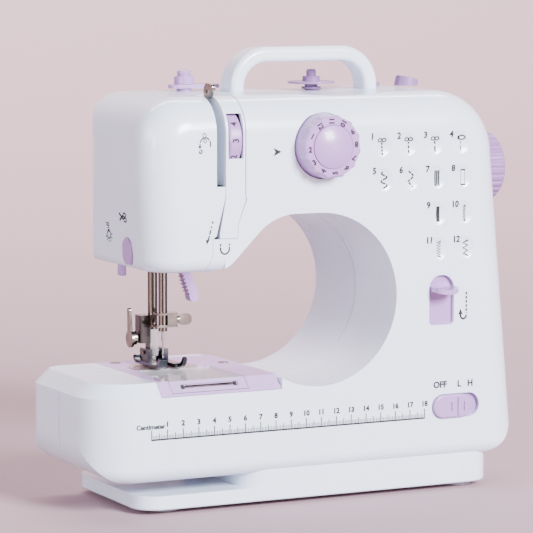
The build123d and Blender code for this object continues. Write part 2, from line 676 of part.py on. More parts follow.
with BuildPart() as stitch_dial:
    with BuildSketch(Plane.XY.offset(dial_z)):
        with BuildLine():
            back = Polyline(
                (dial_x, -26), (dial_x + 5, -26), (dial_x + 5, -41.5), (dial_x + 19.2, -41.5),
                (dial_x + 19.0, -44.5), (dial_x + dial_r + 0.3, dial_face_y + 1.0),
                (dial_x + dial_r - 0.7, dial_face_y), (dial_x + dome_r + 0.6, dial_face_y),
                (dial_x + dome_r, dial_face_y + 0.6), (dial_x + dome_r, dial_face_y - 0.4),
            )
            dome = RadiusArc(back @ 1, (dial_x, dial_tip_y), (dome_r**2 + dome_h**2) / (2 * dome_h))
            Line(dome @ 1, back @ 0)
        make_face()
    revolve(axis=Axis((dial_x, 0, dial_z), (0, 1, 0)))
    for step in range(12):
        scoop = Rot(0, -30 * step - 5, 0) * Pos(20.2, dial_face_y, 0) * Rot(90, 0, 0) * Rot(0, -14, 0)
        with Locations(Pos(dial_x, 0, dial_z) * scoop):
            Cylinder(2.5, 22, mode=Mode.SUBTRACT)
save(stitch_dial, "stitch_dial")

with BuildPart() as stitch_cam_stack:
    for step, radius in enumerate((14, 11.5, 13, 10.5)):
        with Locations((dial_x + (1, -1.5, 1.5, -1)[step], -34.5 + 4.5 * step, dial_z)):
            Cylinder(radius, 2.6, rotation=(90, 0, 0))
    bar_y(dial_x, dial_z, -36, -19, 7)
    bar_y(dial_x, dial_z, -40, -26, 5, mode=Mode.SUBTRACT)
save(stitch_cam_stack, "stitch_cam_stack")

# ---- reverse lever and speed switch --------------------------------------------------------
tab_x, tab_bend_z, tab_bend_r = 82.3, 146.0, 25.4
with BuildPart() as reverse_lever:
    # the finger tab, a thin paddle with rounded corners that sags towards its middle
    with BuildSketch(Plane.XY.offset(112)):
        with Locations((tab_x, -48)):
            RectangleRounded(15.6, 14.6, 5)
    extrude(amount=18)
    with Locations(Location((tab_x, -48, tab_bend_z), (90, 0, 0))):
        Cylinder(tab_bend_r - 2.8, 40, mode=Mode.SUBTRACT)
    with Locations(Location((tab_x, -48, tab_bend_z), (90, 0, 0))):
        Cylinder(tab_bend_r, 40, mode=Mode.INTERSECT)
    block(71.3, 93.6, plate_y0, plate_y1, 85, 147)
    block(71.3, 93.6, plate_y1, plate_y1 + 8, 80, 150, mode=Mode.SUBTRACT)
save(reverse_lever, "reverse_lever")

switch_travel = 5.8
with BuildPart() as speed_switch:
    block(69.4, 110, plate_y0, plate_y1, 41.6, 61.6)
    with BuildSketch(xz(plate_y0)):
        with Locations(((switch_x0 + switch_x1 - switch_travel) / 2, (switch_z0 + switch_z1) / 2)):
            SlotOverall(switch_x1 - switch_x0 - switch_travel - 0.6, switch_z1 - switch_z0 - 0.6)
    extrude(amount=5.2)
    fillet(speed_switch.edges().group_by(Axis.Y)[0], 1.2)
    for x, half_height in ((89.0, 2.7), (93.3, 5.4), (97.6, 2.7)):
        block(x - 0.5, x + 0.5, -48.2, -46, 51.6 - half_height, 51.6 + half_height)
save(speed_switch, "speed_switch")

# ---- light button, lamp and thread cutter in the face cover --------------------------------
button_cap = button_prism(0, -109.6, -101.0)
button_flange = button_prism(1.6, -102.2, -100.6) - box_between(-104, -100, -40, 20, 130, 144.4)
with BuildPart() as light_button:
    add(button_cap)
    fillet(light_button.edges().group_by(Axis.X)[0], 1.4)
    add(button_flange)
save(light_button, "light_button")

with BuildPart() as lamp_lens:
    block(lens_x0 + 0.1, lens_x1 - 0.1, lens_y0 + 0.1, lens_y1 - 0.1, 140.6, 143.4)
    block(lens_x0 + 3, lens_x1 - 3, lens_y0 + 3, lens_y1 - 3, 143.4, 145)
save(lamp_lens, "lamp_lens")

with BuildPart() as thread_cutter:
    block(cutter_x0, cutter_x1, cutter_y0, cutter_y1, 133.8, 143.6)
    fillet(thread_cutter.edges().filter_by(Axis.Z), 1.5)
    fillet(thread_cutter.edges().group_by(Axis.Z)[0], 1.0)
    block(cutter_x0 - 1, cutter_x1 + 1, cutter_y0 + 4, cutter_y0 + 5, 132, 137.4, mode=Mode.SUBTRACT)
save(thread_cutter, "thread_cutter")

# ---- upper thread tension and take-up lever ------------------------------------------------
tension_y, tension_z, tension_r = -29.0, 216.5, 17.0
with BuildPart() as tension_dial:
    bar_x(tension_y, tension_z, -59.0, -51.0, tension_r)
    chamfer(tension_dial.edges(), 1.0)
    bar_x(tension_y, tension_z, -51.0, -44.0, 3)
save(tension_dial, "tension_dial")

take_y, take_z = 0.0, 210.0
eye_y, eye_z = -27.5, 244.5
take_x0, take_x1 = -65.3, -63.1
with BuildPart() as take_up_lever:
    with BuildSketch(Plane.YZ.offset(take_x0)):
        with BuildSketch(mode=Mode.PRIVATE) as arm:
            with Locations((take_y, take_z)):
                Circle(5)
            with Locations((eye_y * 0.8, take_z + (eye_z - take_z) * 0.8)):
                Circle(2.8)
            make_hull()
        add(arm.sketch)
        # the broad head round the thread eye, with a nose that keeps the thread in
        with BuildSketch(mode=Mode.PRIVATE) as tip:
            with Locations((eye_y, eye_z)):
                Circle(4.6)
            with Locations((eye_y - 5, eye_z + 2.1)):
                Circle(2.0)
            make_hull()
        add(tip.sketch)
        with Locations((eye_y, eye_z)):
            Circle(1.3, mode=Mode.SUBTRACT)
        with Locations((take_y, take_z)):
            Circle(2.55, mode=Mode.SUBTRACT)
    extrude(amount=take_x1 - take_x0)
save(take_up_lever, "take_up_lever")

# ---- needle bar ----------------------------------------------------------------------------
needle_r, needle_low_z, needle_tip_z = 2.65, 99.7, 80.6
clamp_z0, clamp_z1 = 102.2, 110.8
clamp_screw_z = 106.2
with BuildPart() as needle_bar:
    post(needle_x, needle_y, needle_low_z, 227, needle_r)
    post(needle_x, needle_y, needle_low_z - 1, 112, 1.0, mode=Mode.SUBTRACT)
    # collar that the crank's link drives
    post(needle_x, needle_y, 178, 188, 5.5)
save(needle_bar, "needle_bar")

with BuildPart() as needle:
    post(needle_x, needle_y, 94, 112, 1.0)
    post(needle_x, needle_y, needle_tip_z + 3, 94, 0.5)
    with Locations((needle_x, needle_y, needle_tip_z + 1.5)):
        Cone(0.08, 0.5, 3)
    with Locations((needle_x, needle_y, needle_tip_z + 5)):
        Box(0.35, 2, 1.6, mode=Mode.SUBTRACT)
save(needle, "needle")

with BuildPart() as needle_clamp:
    # two flanges round the bar, joined by the block that the screw goes into
    for z0, z1 in ((clamp_z0, clamp_z0 + 1.4), (clamp_z1 - 1.2, clamp_z1)):
        block(needle_x - 5.0, needle_x + 8.4, needle_y - 4, needle_y + 4, z0, z1)
    fillet(needle_clamp.edges().filter_by(Axis.Z), 1.4)
    block(needle_x + 1.6, needle_x + 7.6, needle_y - 3.6, needle_y + 3.6, clamp_z0 + 1, clamp_z1 - 1)
    post(needle_x, needle_y, clamp_z0 - 1, clamp_z1 + 1, needle_r, mode=Mode.SUBTRACT)
    bar_x(needle_y, clamp_screw_z, needle_x + 1, needle_x + 9, 1.6, mode=Mode.SUBTRACT)
    # thread guide hooks on the clamp
    block(needle_x - 6.2, needle_x - 4.9, needle_y - 5, needle_y + 3, clamp_z0 + 0.2, clamp_z0 + 1.1)
    block(needle_x - 6.2, needle_x + 5, needle_y - 5, needle_y - 3.9, clamp_z0 + 0.2, clamp_z0 + 1.1)
save(needle_clamp, "needle_clamp")

with BuildPart() as needle_clamp_screw:
    bar_x(needle_y, clamp_screw_z, needle_x + 3, needle_x + 10, 1.6)
    bar_x(needle_y, clamp_screw_z, needle_x + 8.5, needle_x + 10.3, 2.4)
    # the finger grip is a flat oval
    with BuildSketch(xz(needle_y + 1.1)):
        with Locations((needle_x + 14, clamp_screw_z)):
            RectangleRounded(9.0, 6.8, 3.2)
    extrude(amount=2.2)
save(needle_clamp_screw, "needle_clamp_screw")

# ---- presser bar, lifter and foot ----------------------------------------------------------
bar_r, bar_low_z = 2.9, 99.5
spring_z0, spring_z1 = 172.0, 211.8
with BuildPart() as presser_bar:
    post(needle_x, presser_y, bar_low_z, 219, bar_r)
    # collar that the lifter raises and the spring presses on
    block(needle_x - 5, needle_x + 5, presser_y - 5, presser_y + 5, 162, 172)
    block(needle_x + 5, -55, presser_y - 7.5, presser_y - 2, 164, 169)
save(presser_bar, "presser_bar")

with BuildPart() as presser_spring:
    with BuildLine(Plane((needle_x, presser_y, spring_z0 + 0.7))) as coil:
        Helix(pitch=(spring_z1 - spring_z0 - 1.4) / 8, height=spring_z1 - spring_z0 - 1.4, radius=4.4)
    with BuildSketch(Plane(origin=coil.line @ 0, z_dir=coil.line % 0)):
        Circle(0.6)
    sweep()
save(presser_spring, "presser_spring")

lift_x, lift_z = -57.0, 153.0
with BuildPart() as presser_lifter:
    with BuildSketch(xz(30.0)) as lifter_outline:
        with BuildLine():
            hub = CenterArc((lift_x, lift_z), 6, -60, 240)
            left = Spline(hub @ 1, (-60.2, 142), (-57.4, 130), (-52.9, 118))
            tip = ThreePointArc(left @ 1, (-50.3, 115), (-47.2, 117.6))
            Spline(tip @ 1, (-49.6, 126), (-53.2, 135.5), (-54.2, 143), hub @ 0)
        make_face()
    extrude(amount=7)
    # grip ridges along the front-left edge
    for step in range(8):
        along = step / 7
        bar_y(-59.3 + 5.4 * along, 135.5 - 15.5 * along, 22, 31, 0.8, mode=Mode.SUBTRACT)
    bar_y(lift_x, lift_z, 22, 31, 2.55, mode=Mode.SUBTRACT)
save(presser_lifter, "presser_lifter")

shank_x0, shank_x1 = -78.2, -72.6
hinge_y, hinge_z, hinge_r = 28.0, 85.6, 1.0

with BuildPart() as foot_holder:
    # shank down to the foot's hinge pin, which turns in it
    block(shank_x0, shank_x1, 26.2, 32.6, 83.4, bar_low_z)
    post(needle_x, presser_y, 96, bar_low_z, bar_r + 0.6)
    # clamp that grips the bar's left side
    block(-84.5, -77.6, 25.6, 34.4, 91.4, 108.2)
    fillet(foot_holder.edges().filter_by(Axis.Z).sort_by(Axis.X)[:2], 1.2)
    post(needle_x, presser_y, bar_low_z, 120, bar_r, mode=Mode.SUBTRACT)
    bar_x(presser_y, 94.5, -86, -78, 1.7, mode=Mode.SUBTRACT)
    bar_x(hinge_y, hinge_z, -84, -66, hinge_r + 0.05, mode=Mode.SUBTRACT)
save(foot_holder, "foot_holder")

with BuildPart() as foot_thumb_screw:
    bar_x(presser_y, 94.5, -88.5, -78, 1.7)
    bar_x(presser_y, 94.5, -88.5, -86.0, 4.2)
    with BuildSketch(Plane.YZ.offset(-89.9)) as paddle:
        with BuildSketch(mode=Mode.PRIVATE) as blade:
            with Locations((presser_y, 94.5)):
                Circle(2.6)
            with Locations((presser_y + 1.4, 111)):
                Circle(1.7)
            make_hull()
        add(blade.sketch)
        with Locations((presser_y, 94)):
            Circle(5.2)
    extrude(amount=1.5)
save(foot_thumb_screw, "foot_thumb_screw")

foot_low_z = 78.7
with BuildPart() as presser_foot:
    # side profile of the sole, with the toes and heel turned up
    with BuildSketch(Plane.YZ.offset(-83.5)):
        with BuildLine():
            sole = Line((8, foot_low_z), (34, foot_low_z))
            heel = ThreePointArc(sole @ 1, (37.2, 79.6), (39.4, 82.0))
            heel_top = Line(heel @ 1, (38.0, 83.2))
            heel_in = ThreePointArc(heel_top @ 1, (36.0, 81.3), (33, 80.7))
            upper = Line(heel_in @ 1, (9, 80.7))
            toe_in = ThreePointArc(upper @ 1, (4.2, 82.0), (1.6, 85.4))
            toe_top = Line(toe_in @ 1, (0, 84.4))
            ThreePointArc(toe_top @ 1, (2.8, 80.0), sole @ 0)
        make_face()
    extrude(amount=18)
    block(-78.2, -70.8, -2, 18.8, 70, 90, mode=Mode.SUBTRACT)
    block(-71.2, -68, -2, 6, 70, 90, mode=Mode.SUBTRACT)
    # cheeks that hold the hinge pin on either side of the shank
    for x0 in (-81.2, -70.5):
        block(x0, x0 + 2.7, 22, 34, foot_low_z + 1, 88)
    bar_x(hinge_y, hinge_z, -84, -66, hinge_r, mode=Mode.SUBTRACT)
save(presser_foot, "presser_foot")

with BuildPart() as foot_pin:
    bar_x(hinge_y, hinge_z, -82, -67, hinge_r)
save(foot_pin, "foot_pin")

# ---- bed: trim, needle plate, bobbin cover -------------------------------------------------
plate_x, plate_y, plate_r = -73.0, 18.0, 20.5
plate_front_y = 10.0  # the round needle plate is cut straight along the bobbin cover
plate_z0, plate_z1 = 76.4, 77.9
cover_x0, cover_x1 = -94.8, -46.2
cover_low_z = 71.4  # the cover folds down over the front slope to here
cover_t = 1.6
slope_y = -37.1

with BuildPart(mode=Mode.PRIVATE) as cover_pocket:
    with BuildSketch(Plane.YZ.offset(cover_x0 - 0.3)):
        with BuildLine():
            Polyline(
                (plate_front_y, 79), (-47, 79), (-47, cover_low_z - 0.3),
                (-41.2, cover_low_z - 0.3), (slope_y + 0.5, 75.5), (plate_front_y, 75.5), close=True,
            )
        make_face()
    extrude(amount=cover_x1 - cover_x0 + 0.6)

with BuildPart() as bed_trim:
    with BuildSketch(Plane.YZ.offset(trim_x0)):
        with BuildLine():
            Polyline(*trim_profile, close=True)
        make_face()
    extrude(amount=trim_x1 - trim_x0)
    post(plate_x, plate_y, 70, 79, plate_r - 2, mode=Mode.SUBTRACT)
    post(plate_x, plate_y, plate_z0, 79, plate_r + 0.2, mode=Mode.SUBTRACT)
    add(cover_pocket.part, mode=Mode.SUBTRACT)
    block(-92.5, -48.5, -30, 12, 70, 79, mode=Mode.SUBTRACT)
    for x, y in trim_screws:
        post(x, y, 76.3, 79, 3.3, mode=Mode.SUBTRACT)
        post(x, y, 70, 79, 1.6, mode=Mode.SUBTRACT)
save(bed_trim, "bed_trim")

with BuildPart() as plate_screws:
    for x, y in trim_screws:
        post(x, y, 76.3, 78.0, 3.1)
        post(x, y, 66, 76.3, 1.5)
        with Locations((x, y, 78)):
            Box(5.2, 0.8, 1.4, mode=Mode.SUBTRACT)
save(plate_screws, "plate_screws")

feed_x = (-80.8, -68.2)
with BuildPart() as needle_plate:
    post(plate_x, plate_y, plate_z0, plate_z1, plate_r)
    block(-100, -40, -10, plate_front_y + 0.2, 70, 80, mode=Mode.SUBTRACT)
    for x in feed_x:
        block(x - 1.5, x + 1.5, 11.4, 30.4, 70, 80, mode=Mode.SUBTRACT)
    with BuildSketch(Plane.XY.offset(70)):
        with Locations((needle_x, needle_y)):
            SlotOverall(7, 2.4)
    extrude(amount=10, mode=Mode.SUBTRACT)
save(needle_plate, "needle_plate")

with BuildPart() as bobbin_cover:
    with BuildSketch(Plane.YZ.offset(cover_x0)):
        with BuildLine():
            Polyline(
                (plate_front_y - 0.1, 77.5), (slope_y, 77.5), (slope_y - 6.1, cover_low_z),
                (-41.0, cover_low_z), (slope_y + 0.45, 77.5 - cover_t),
                (plate_front_y - 0.1, 77.5 - cover_t), close=True,
            )
        make_face()
    extrude(amount=cover_x1 - cover_x0)
    fillet(bobbin_cover.edges().filter_by(Axis.Z), 1.0)
    # finger grip on the front slope
    with Locations(Location((-70, slope_y - 3.05, 77.5 - 3.05), (45, 0, 0))):
        Box(37, 3.4, 1.5, mode=Mode.SUBTRACT)
save(bobbin_cover, "bobbin_cover")

with BuildPart() as bobbin_latch:
    block(-98.6, -95.3, -35, -24, 77.6, 79.2)
    fillet(bobbin_latch.edges().filter_by(Axis.Z), 1.4)
save(bobbin_latch, "bobbin_latch")

# ---- hook, bobbin and feed -----------------------------------------------------------------
hook_r = 17.0
with BuildPart() as shuttle_hook:
    post(hook_x, hook_y, 51, 72, hook_r)
    post(hook_x, hook_y, 53, 73, hook_r - 1.4, mode=Mode.SUBTRACT)
    post(hook_x, hook_y, 46.2, 51, 7)
    post(hook_x, hook_y, 39, 46.2, hook_stem_r)
    post(hook_x, hook_y, 32, 39, 8.6)
    # opening behind the hook's point
    with BuildSketch(Plane.XY.offset(64)):
        with BuildLine():
            Polyline((hook_x, hook_y), (hook_x - 24, hook_y + 3), (hook_x - 20, hook_y - 14), close=True)
        make_face()
    extrude(amount=10, mode=Mode.SUBTRACT)
save(shuttle_hook, "shuttle_hook")

with BuildPart() as bobbin_case:
    post(hook_x, hook_y, 53.4, 72.2, hook_r - 1.8)
    post(hook_x, hook_y, 55.4, 73, hook_r - 4.0, mode=Mode.SUBTRACT)
    post(hook_x, hook_y, 55.4, 66, 2.4)
save(bobbin_case, "bobbin_case")

with BuildPart() as bobbin:
    for z in (56.4, 67.4):
        post(hook_x, hook_y, z, z + 1, 10.6)
    post(hook_x, hook_y, 57, 68, 4.2)
    post(hook_x, hook_y, 56, 69, 2.5, mode=Mode.SUBTRACT)
save(bobbin, "bobbin")

with BuildPart() as feed_dog:
    for x in feed_x:
        block(x - 1.2, x + 1.2, 7, 32, 72.9, 74.6)
        block(x - 1.2, x + 1.2, 13.4, 28.4, 74.6, 76.7)
        for step in range(9):
            with Locations(Location((x, 14.4 + 1.6 * step, 76.5), (45, 0, 0))):
                Box(2.4, 1.1, 1.1)
    block(feed_x[0] - 1.2, feed_x[1] + 1.2, 24, 32, 72.9, 74.6)
    block(-78, -71, 25, 31, 64.2, 74)
save(feed_dog, "feed_dog")

with BuildPart() as feed_bar:
    block(-84.6, -64.4, 20, 43, 56, 64)
    fillet(feed_bar.edges().filter_by(Axis.Z), 1.5)
save(feed_bar, "feed_bar")

# ---- on top: spool pin, bobbin winder, thread guide ----------------------------------------
with BuildPart() as spool_pin:
    post(spool_x, spool_y, 200, 253, 3.0)
    fillet(spool_pin.edges().group_by(Axis.Z)[-1], 1.6)
    post(spool_x, spool_y, 200, 203, 5)
save(spool_pin, "spool_pin")

with BuildPart() as spool_rest:
    post(spool_x, spool_y, 234, 248.6, 4.0)
    post(spool_x, spool_y, 240.8, 242.2, 6.0)
    post(spool_x, spool_y, 244.2, 245.5, 14.5)
    fillet(spool_rest.edges().filter_by(GeomType.CIRCLE).filter_by(lambda e: e.radius > 14), 0.5)
    post(spool_x, spool_y, 245.5, 248.6, 5.4)
    post(spool_x, spool_y, 230, 250, 3.05, mode=Mode.SUBTRACT)
save(spool_rest, "spool_rest")

with BuildPart() as winder_spindle:
    post(winder_x, winder_y, 222, 244, 3.1)
    post(winder_x, winder_y, top_z + 0.3, top_z + 2.3, 7.0)
    post(winder_x, winder_y, 244, 252, 2.6)
    fillet(winder_spindle.edges().group_by(Axis.Z)[-1], 1.0)
save(winder_spindle, "winder_spindle")

with BuildPart() as winder_stop:
    with Locations(Location((stop_x, stop_y, 242.6), (0, 14, 0))):
        Cylinder(7.2, 8.4)
    fillet(winder_stop.edges().group_by(Axis.Z)[-1], 1.2)
    block(stop_x - 12, stop_x + 12, stop_y - 12, stop_y + 12, 230, top_z + 0.1, mode=Mode.SUBTRACT)
save(winder_stop, "winder_stop")

guide_z0, guide_z1 = 243.2, 245.6
with BuildPart() as thread_guide_plate:
    with BuildSketch(Plane.XY.offset(guide_z0)) as guide_outline:
        with Locations((guide_x + 6.5, guide_y)):
            SlotOverall(33, 12)
    extrude(amount=guide_z1 - guide_z0)
    fillet(thread_guide_plate.edges().group_by(Axis.Z)[-1], 0.9)
    block(-34, -24, guide_y - 1.2, guide_y + 7, 238, 247, mode=Mode.SUBTRACT)
    # the foot it stands on
    post(guide_x, guide_y, top_z + 0.05, guide_z0, 4.5)
save(thread_guide_plate, "thread_guide_plate")

with BuildPart() as pretension_cap:
    post(guide_x, guide_y, guide_z1 + 0.05, 250.2, 6.0)
    post(guide_x, guide_y, 250.2, 253.8, 4.2)
    fillet(pretension_cap.edges().group_by(Axis.Z)[-1], 0.9)
    post(guide_x, guide_y, 251.4, 252.0, 6, mode=Mode.SUBTRACT)
    post(guide_x, guide_y, 251.0, 252.4, 3.8)
save(pretension_cap, "pretension_cap")

# ---- electrics and fasteners ---------------------------------------------------------------
with BuildPart() as control_board:
    block(-20, 76, -34, -12, 30, 31.6)
    for x, width, height in ((-8, 12, 12), (14, 16, 9), (36, 8, 14), (58, 18, 11)):
        block(x - width / 2, x + width / 2, -29, -18, 31.6, 31.6 + height)
    for x in (-16, 72):
        post(x, -15, 22.1, 30, 2.5)
save(control_board, "control_board")

jack_z = (jack_z0 + jack_z1) / 2
with BuildPart() as power_jacks:
    block(jack_x0, jack_x1, frame_back_y + 0.4, back_y - 0.6, jack_z0, jack_z1)
    for x in (jack_x0 + 6, jack_x1 - 6):
        bar_y(x, jack_z, frame_back_y + 2, back_y + 1, 2.9, mode=Mode.SUBTRACT)
        bar_y(x, jack_z, frame_back_y + 1, back_y - 4, 0.9)
save(power_jacks, "power_jacks")

with BuildPart() as rear_screws:
    for x, z in rear_screw_places:
        bar_y(x, z, screw_seat_y, 55.2, 3.7)
        bar_y(x, z, 44, screw_seat_y, 1.9)
        with Locations((x, 55.2, z)):
            Box(5.0, 1.6, 0.9, mode=Mode.SUBTRACT)
            Box(0.9, 1.6, 5.0, mode=Mode.SUBTRACT)
save(rear_screws, "rear_screws")
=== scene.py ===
import math

import bmesh
import bpy
from mathutils import Matrix, Vector
from mathutils.bvhtree import BVHTree


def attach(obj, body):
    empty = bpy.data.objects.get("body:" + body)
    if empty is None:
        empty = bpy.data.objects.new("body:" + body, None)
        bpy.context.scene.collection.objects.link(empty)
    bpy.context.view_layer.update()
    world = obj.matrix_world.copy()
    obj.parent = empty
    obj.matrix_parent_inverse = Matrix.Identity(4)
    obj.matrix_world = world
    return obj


# A small sewing machine. Everything is in metres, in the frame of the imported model:
# +X towards the handwheel, -Y towards the person sewing, +Z up.

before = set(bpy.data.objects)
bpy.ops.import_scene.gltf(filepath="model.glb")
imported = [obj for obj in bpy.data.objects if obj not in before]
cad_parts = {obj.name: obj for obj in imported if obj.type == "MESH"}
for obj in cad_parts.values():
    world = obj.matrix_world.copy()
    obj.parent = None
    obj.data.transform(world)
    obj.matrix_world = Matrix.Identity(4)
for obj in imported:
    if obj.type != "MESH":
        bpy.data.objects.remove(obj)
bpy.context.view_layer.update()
scene = bpy.context.scene
MM = 0.001

# ---- camera ---------------------------------------------------------------------------------
SENSOR, LENS = 36.0, 199.05
camera_data = bpy.data.cameras.new("camera")
camera_data.sensor_width = SENSOR
camera_data.lens = LENS
camera_data.clip_start = 0.05
camera = bpy.data.objects.new("camera", camera_data)
camera.location = (-0.79547, -1.57359, 0.33171)
camera.rotation_euler = (math.radians(83.674), 0.0, math.radians(-26.44))
scene.collection.objects.link(camera)
scene.camera = camera


# ---- materials ------------------------------------------------------------------------------
NOISE_LOW, NOISE_HIGH = 0.3, 0.7  # the range that nearly all of a noise texture's values lie in


def new_material(name):
    """An empty material with one Principled shader."""
    material = bpy.data.materials.new(name)
    material.use_nodes = True
    tree = material.node_tree
    tree.nodes.clear()
    output = tree.nodes.new("ShaderNodeOutputMaterial")
    shader = tree.nodes.new("ShaderNodeBsdfPrincipled")
    tree.links.new(shader.outputs["BSDF"], output.inputs["Surface"])
    return material, tree, shader


def add_noise(tree, scale, detail=3.0, roughness=0.55):
    """A noise texture in the object's own coordinates."""
    coords = tree.nodes.new("ShaderNodeTexCoord")
    noise = tree.nodes.new("ShaderNodeTexNoise")
    noise.inputs["Scale"].default_value = scale
    noise.inputs["Detail"].default_value = detail
    noise.inputs["Roughness"].default_value = roughness
    tree.links.new(coords.outputs["Object"], noise.inputs["Vector"])
    return noise


def add_ramp(tree, source, low, high, start=NOISE_LOW, end=NOISE_HIGH):
    """Maps a grey value to a blend between two colours."""
    ramp = tree.nodes.new("ShaderNodeValToRGB")
    ramp.color_ramp.elements[0].position = start
    ramp.color_ramp.elements[0].color = (*low, 1.0)
    ramp.color_ramp.elements[1].position = end
    ramp.color_ramp.elements[1].color = (*high, 1.0)
    tree.links.new(source, ramp.inputs["Fac"])
    return ramp


def vary_roughness(tree, shader, source, low, high):
    """Makes the roughness follow the noise between low and high."""
    span = tree.nodes.new("ShaderNodeMapRange")
    span.inputs["From Min"].default_value = NOISE_LOW
    span.inputs["From Max"].default_value = NOISE_HIGH
    span.inputs["To Min"].default_value = low
    span.inputs["To Max"].default_value = high
    tree.links.new(source, span.inputs["Value"])
    tree.links.new(span.outputs["Result"], shader.inputs["Roughness"])


def add_bump(tree, shader, source, strength, distance):
    """Roughens the surface by the noise; distance is in metres."""
    bump = tree.nodes.new("ShaderNodeBump")
    bump.inputs["Strength"].default_value = strength
    bump.inputs["Distance"].default_value = distance
    tree.links.new(source, bump.inputs["Height"])
    tree.links.new(bump.outputs["Normal"], shader.inputs["Normal"])


def moulded_plastic(name, low, high, rough=(0.2, 0.28), coat=0.25, peel=0.04):
    """Gloss plastic: a slow drift of tone, patchy gloss and a faint orange-peel surface."""
    material, tree, shader = new_material(name)
    drift = add_noise(tree, 14.0)
    tone = add_ramp(tree, drift.outputs["Fac"], low, high)
    tree.links.new(tone.outputs["Color"], shader.inputs["Base Color"])
    handling = add_noise(tree, 60.0, detail=5.0)
    vary_roughness(tree, shader, handling.outputs["Fac"], *rough)
    shader.inputs["Coat Weight"].default_value = coat
    shader.inputs["Coat Roughness"].default_value = 0.06
    shader.inputs["IOR"].default_value = 1.49
    grain = add_noise(tree, 900.0, detail=2.0)
    add_bump(tree, shader, grain.outputs["Fac"], peel, 0.0004)
    return material


def metal(name, low, high, rough=(0.12, 0.25), brushed=None, bump=0.05):
    """Metal with fine handling marks; brushed gives the axis that the brushing runs along."""
    material, tree, shader = new_material(name)
    coords = tree.nodes.new("ShaderNodeTexCoord")
    stretch = tree.nodes.new("ShaderNodeMapping")
    scale = [1.0, 1.0, 1.0]
    if brushed is not None:
        scale = [1.0 if axis == brushed else 24.0 for axis in range(3)]
    stretch.inputs["Scale"].default_value = scale
    noise = tree.nodes.new("ShaderNodeTexNoise")
    noise.inputs["Scale"].default_value = 120.0
    noise.inputs["Detail"].default_value = 5.0
    tree.links.new(coords.outputs["Object"], stretch.inputs["Vector"])
    tree.links.new(stretch.outputs["Vector"], noise.inputs["Vector"])
    tone = add_ramp(tree, noise.outputs["Fac"], low, high)
    tree.links.new(tone.outputs["Color"], shader.inputs["Base Color"])
    shader.inputs["Metallic"].default_value = 1.0
    vary_roughness(tree, shader, noise.outputs["Fac"], *rough)
    add_bump(tree, shader, noise.outputs["Fac"], bump, 0.0002)
    return material


def turned_bar(name, stops, rough=(0.1, 0.2)):
    """A polished bar with painted reflections: streaks of light and dark tone along it, by the
    direction that each side faces.
    """
    material, tree, shader = new_material(name)
    coords = tree.nodes.new("ShaderNodeTexCoord")
    parts = tree.nodes.new("ShaderNodeSeparateXYZ")
    span = tree.nodes.new("ShaderNodeMapRange")
    span.inputs["From Min"].default_value = -1.0
    tree.links.new(coords.outputs["Normal"], parts.inputs["Vector"])
    tree.links.new(parts.outputs["X"], span.inputs["Value"])
    (start, low), *middle, (end, high) = stops
    ramp = add_ramp(tree, span.outputs["Result"], low, high, start, end)
    for position, tone in middle:
        ramp.color_ramp.elements.new(position).color = (*tone, 1.0)
    tree.links.new(ramp.outputs["Color"], shader.inputs["Base Color"])
    shader.inputs["Metallic"].default_value = 1.0
    noise = add_noise(tree, 150.0, detail=5.0)
    vary_roughness(tree, shader, noise.outputs["Fac"], *rough)
    add_bump(tree, shader, noise.outputs["Fac"], 0.05, 0.0002)
    return material


def split_by_position(material, axis, limit, low_tone, low_alpha=None):
    """Gives the part that lies below the limit, in metres along the axis, another tone."""
    tree = material.node_tree
    shader = next(node for node in tree.nodes if node.type == "BSDF_PRINCIPLED")
    coords = tree.nodes.new("ShaderNodeTexCoord")
    parts = tree.nodes.new("ShaderNodeSeparateXYZ")
    below = tree.nodes.new("ShaderNodeMath")
    below.operation = "LESS_THAN"
    below.inputs[1].default_value = limit
    tree.links.new(coords.outputs["Object"], parts.inputs["Vector"])
    tree.links.new(parts.outputs[axis], below.inputs[0])
    source = shader.inputs["Base Color"].links[0].from_socket
    mix = tree.nodes.new("ShaderNodeMixRGB")
    mix.inputs["Color2"].default_value = (*low_tone, 1.0)
    tree.links.new(below.outputs["Value"], mix.inputs["Fac"])
    tree.links.new(source, mix.inputs["Color1"])
    tree.links.new(mix.outputs["Color"], shader.inputs["Base Color"])
    if low_alpha is not None:
        span = tree.nodes.new("ShaderNodeMapRange")
        span.inputs["To Min"].default_value = shader.inputs["Alpha"].default_value
        span.inputs["To Max"].default_value = low_alpha
        tree.links.new(below.outputs["Value"], span.inputs["Value"])
        tree.links.new(span.outputs["Result"], shader.inputs["Alpha"])
    return material


def rubber(name, tone):
    """Dull, slightly pebbled rubber."""
    material, tree, shader = new_material(name)
    noise = add_noise(tree, 300.0, detail=6.0)
    lighter = tuple(channel * 1.8 + 0.01 for channel in tone)
    ramp = add_ramp(tree, noise.outputs["Fac"], tone, lighter)
    tree.links.new(ramp.outputs["Color"], shader.inputs["Base Color"])
    vary_roughness(tree, shader, noise.outputs["Fac"], 0.6, 0.8)
    add_bump(tree, shader, noise.outputs["Fac"], 0.3, 0.0003)
    return material


def clear_plastic(name, tint, alpha):
    """Clear moulded plastic: faintly tinted, with scuffs where thread and hands rub it."""
    material, tree, shader = new_material(name)
    noise = add_noise(tree, 90.0, detail=6.0)
    lighter = tuple(min(1.0, channel * 1.06) for channel in tint)
    ramp = add_ramp(tree, noise.outputs["Fac"], tint, lighter)
    tree.links.new(ramp.outputs["Color"], shader.inputs["Base Color"])
    vary_roughness(tree, shader, noise.outputs["Fac"], 0.06, 0.16)
    shader.inputs["Alpha"].default_value = alpha
    shader.inputs["IOR"].default_value = 1.5
    shader.inputs["Coat Weight"].default_value = 0.6
    shader.inputs["Coat Roughness"].default_value = 0.05
    return material


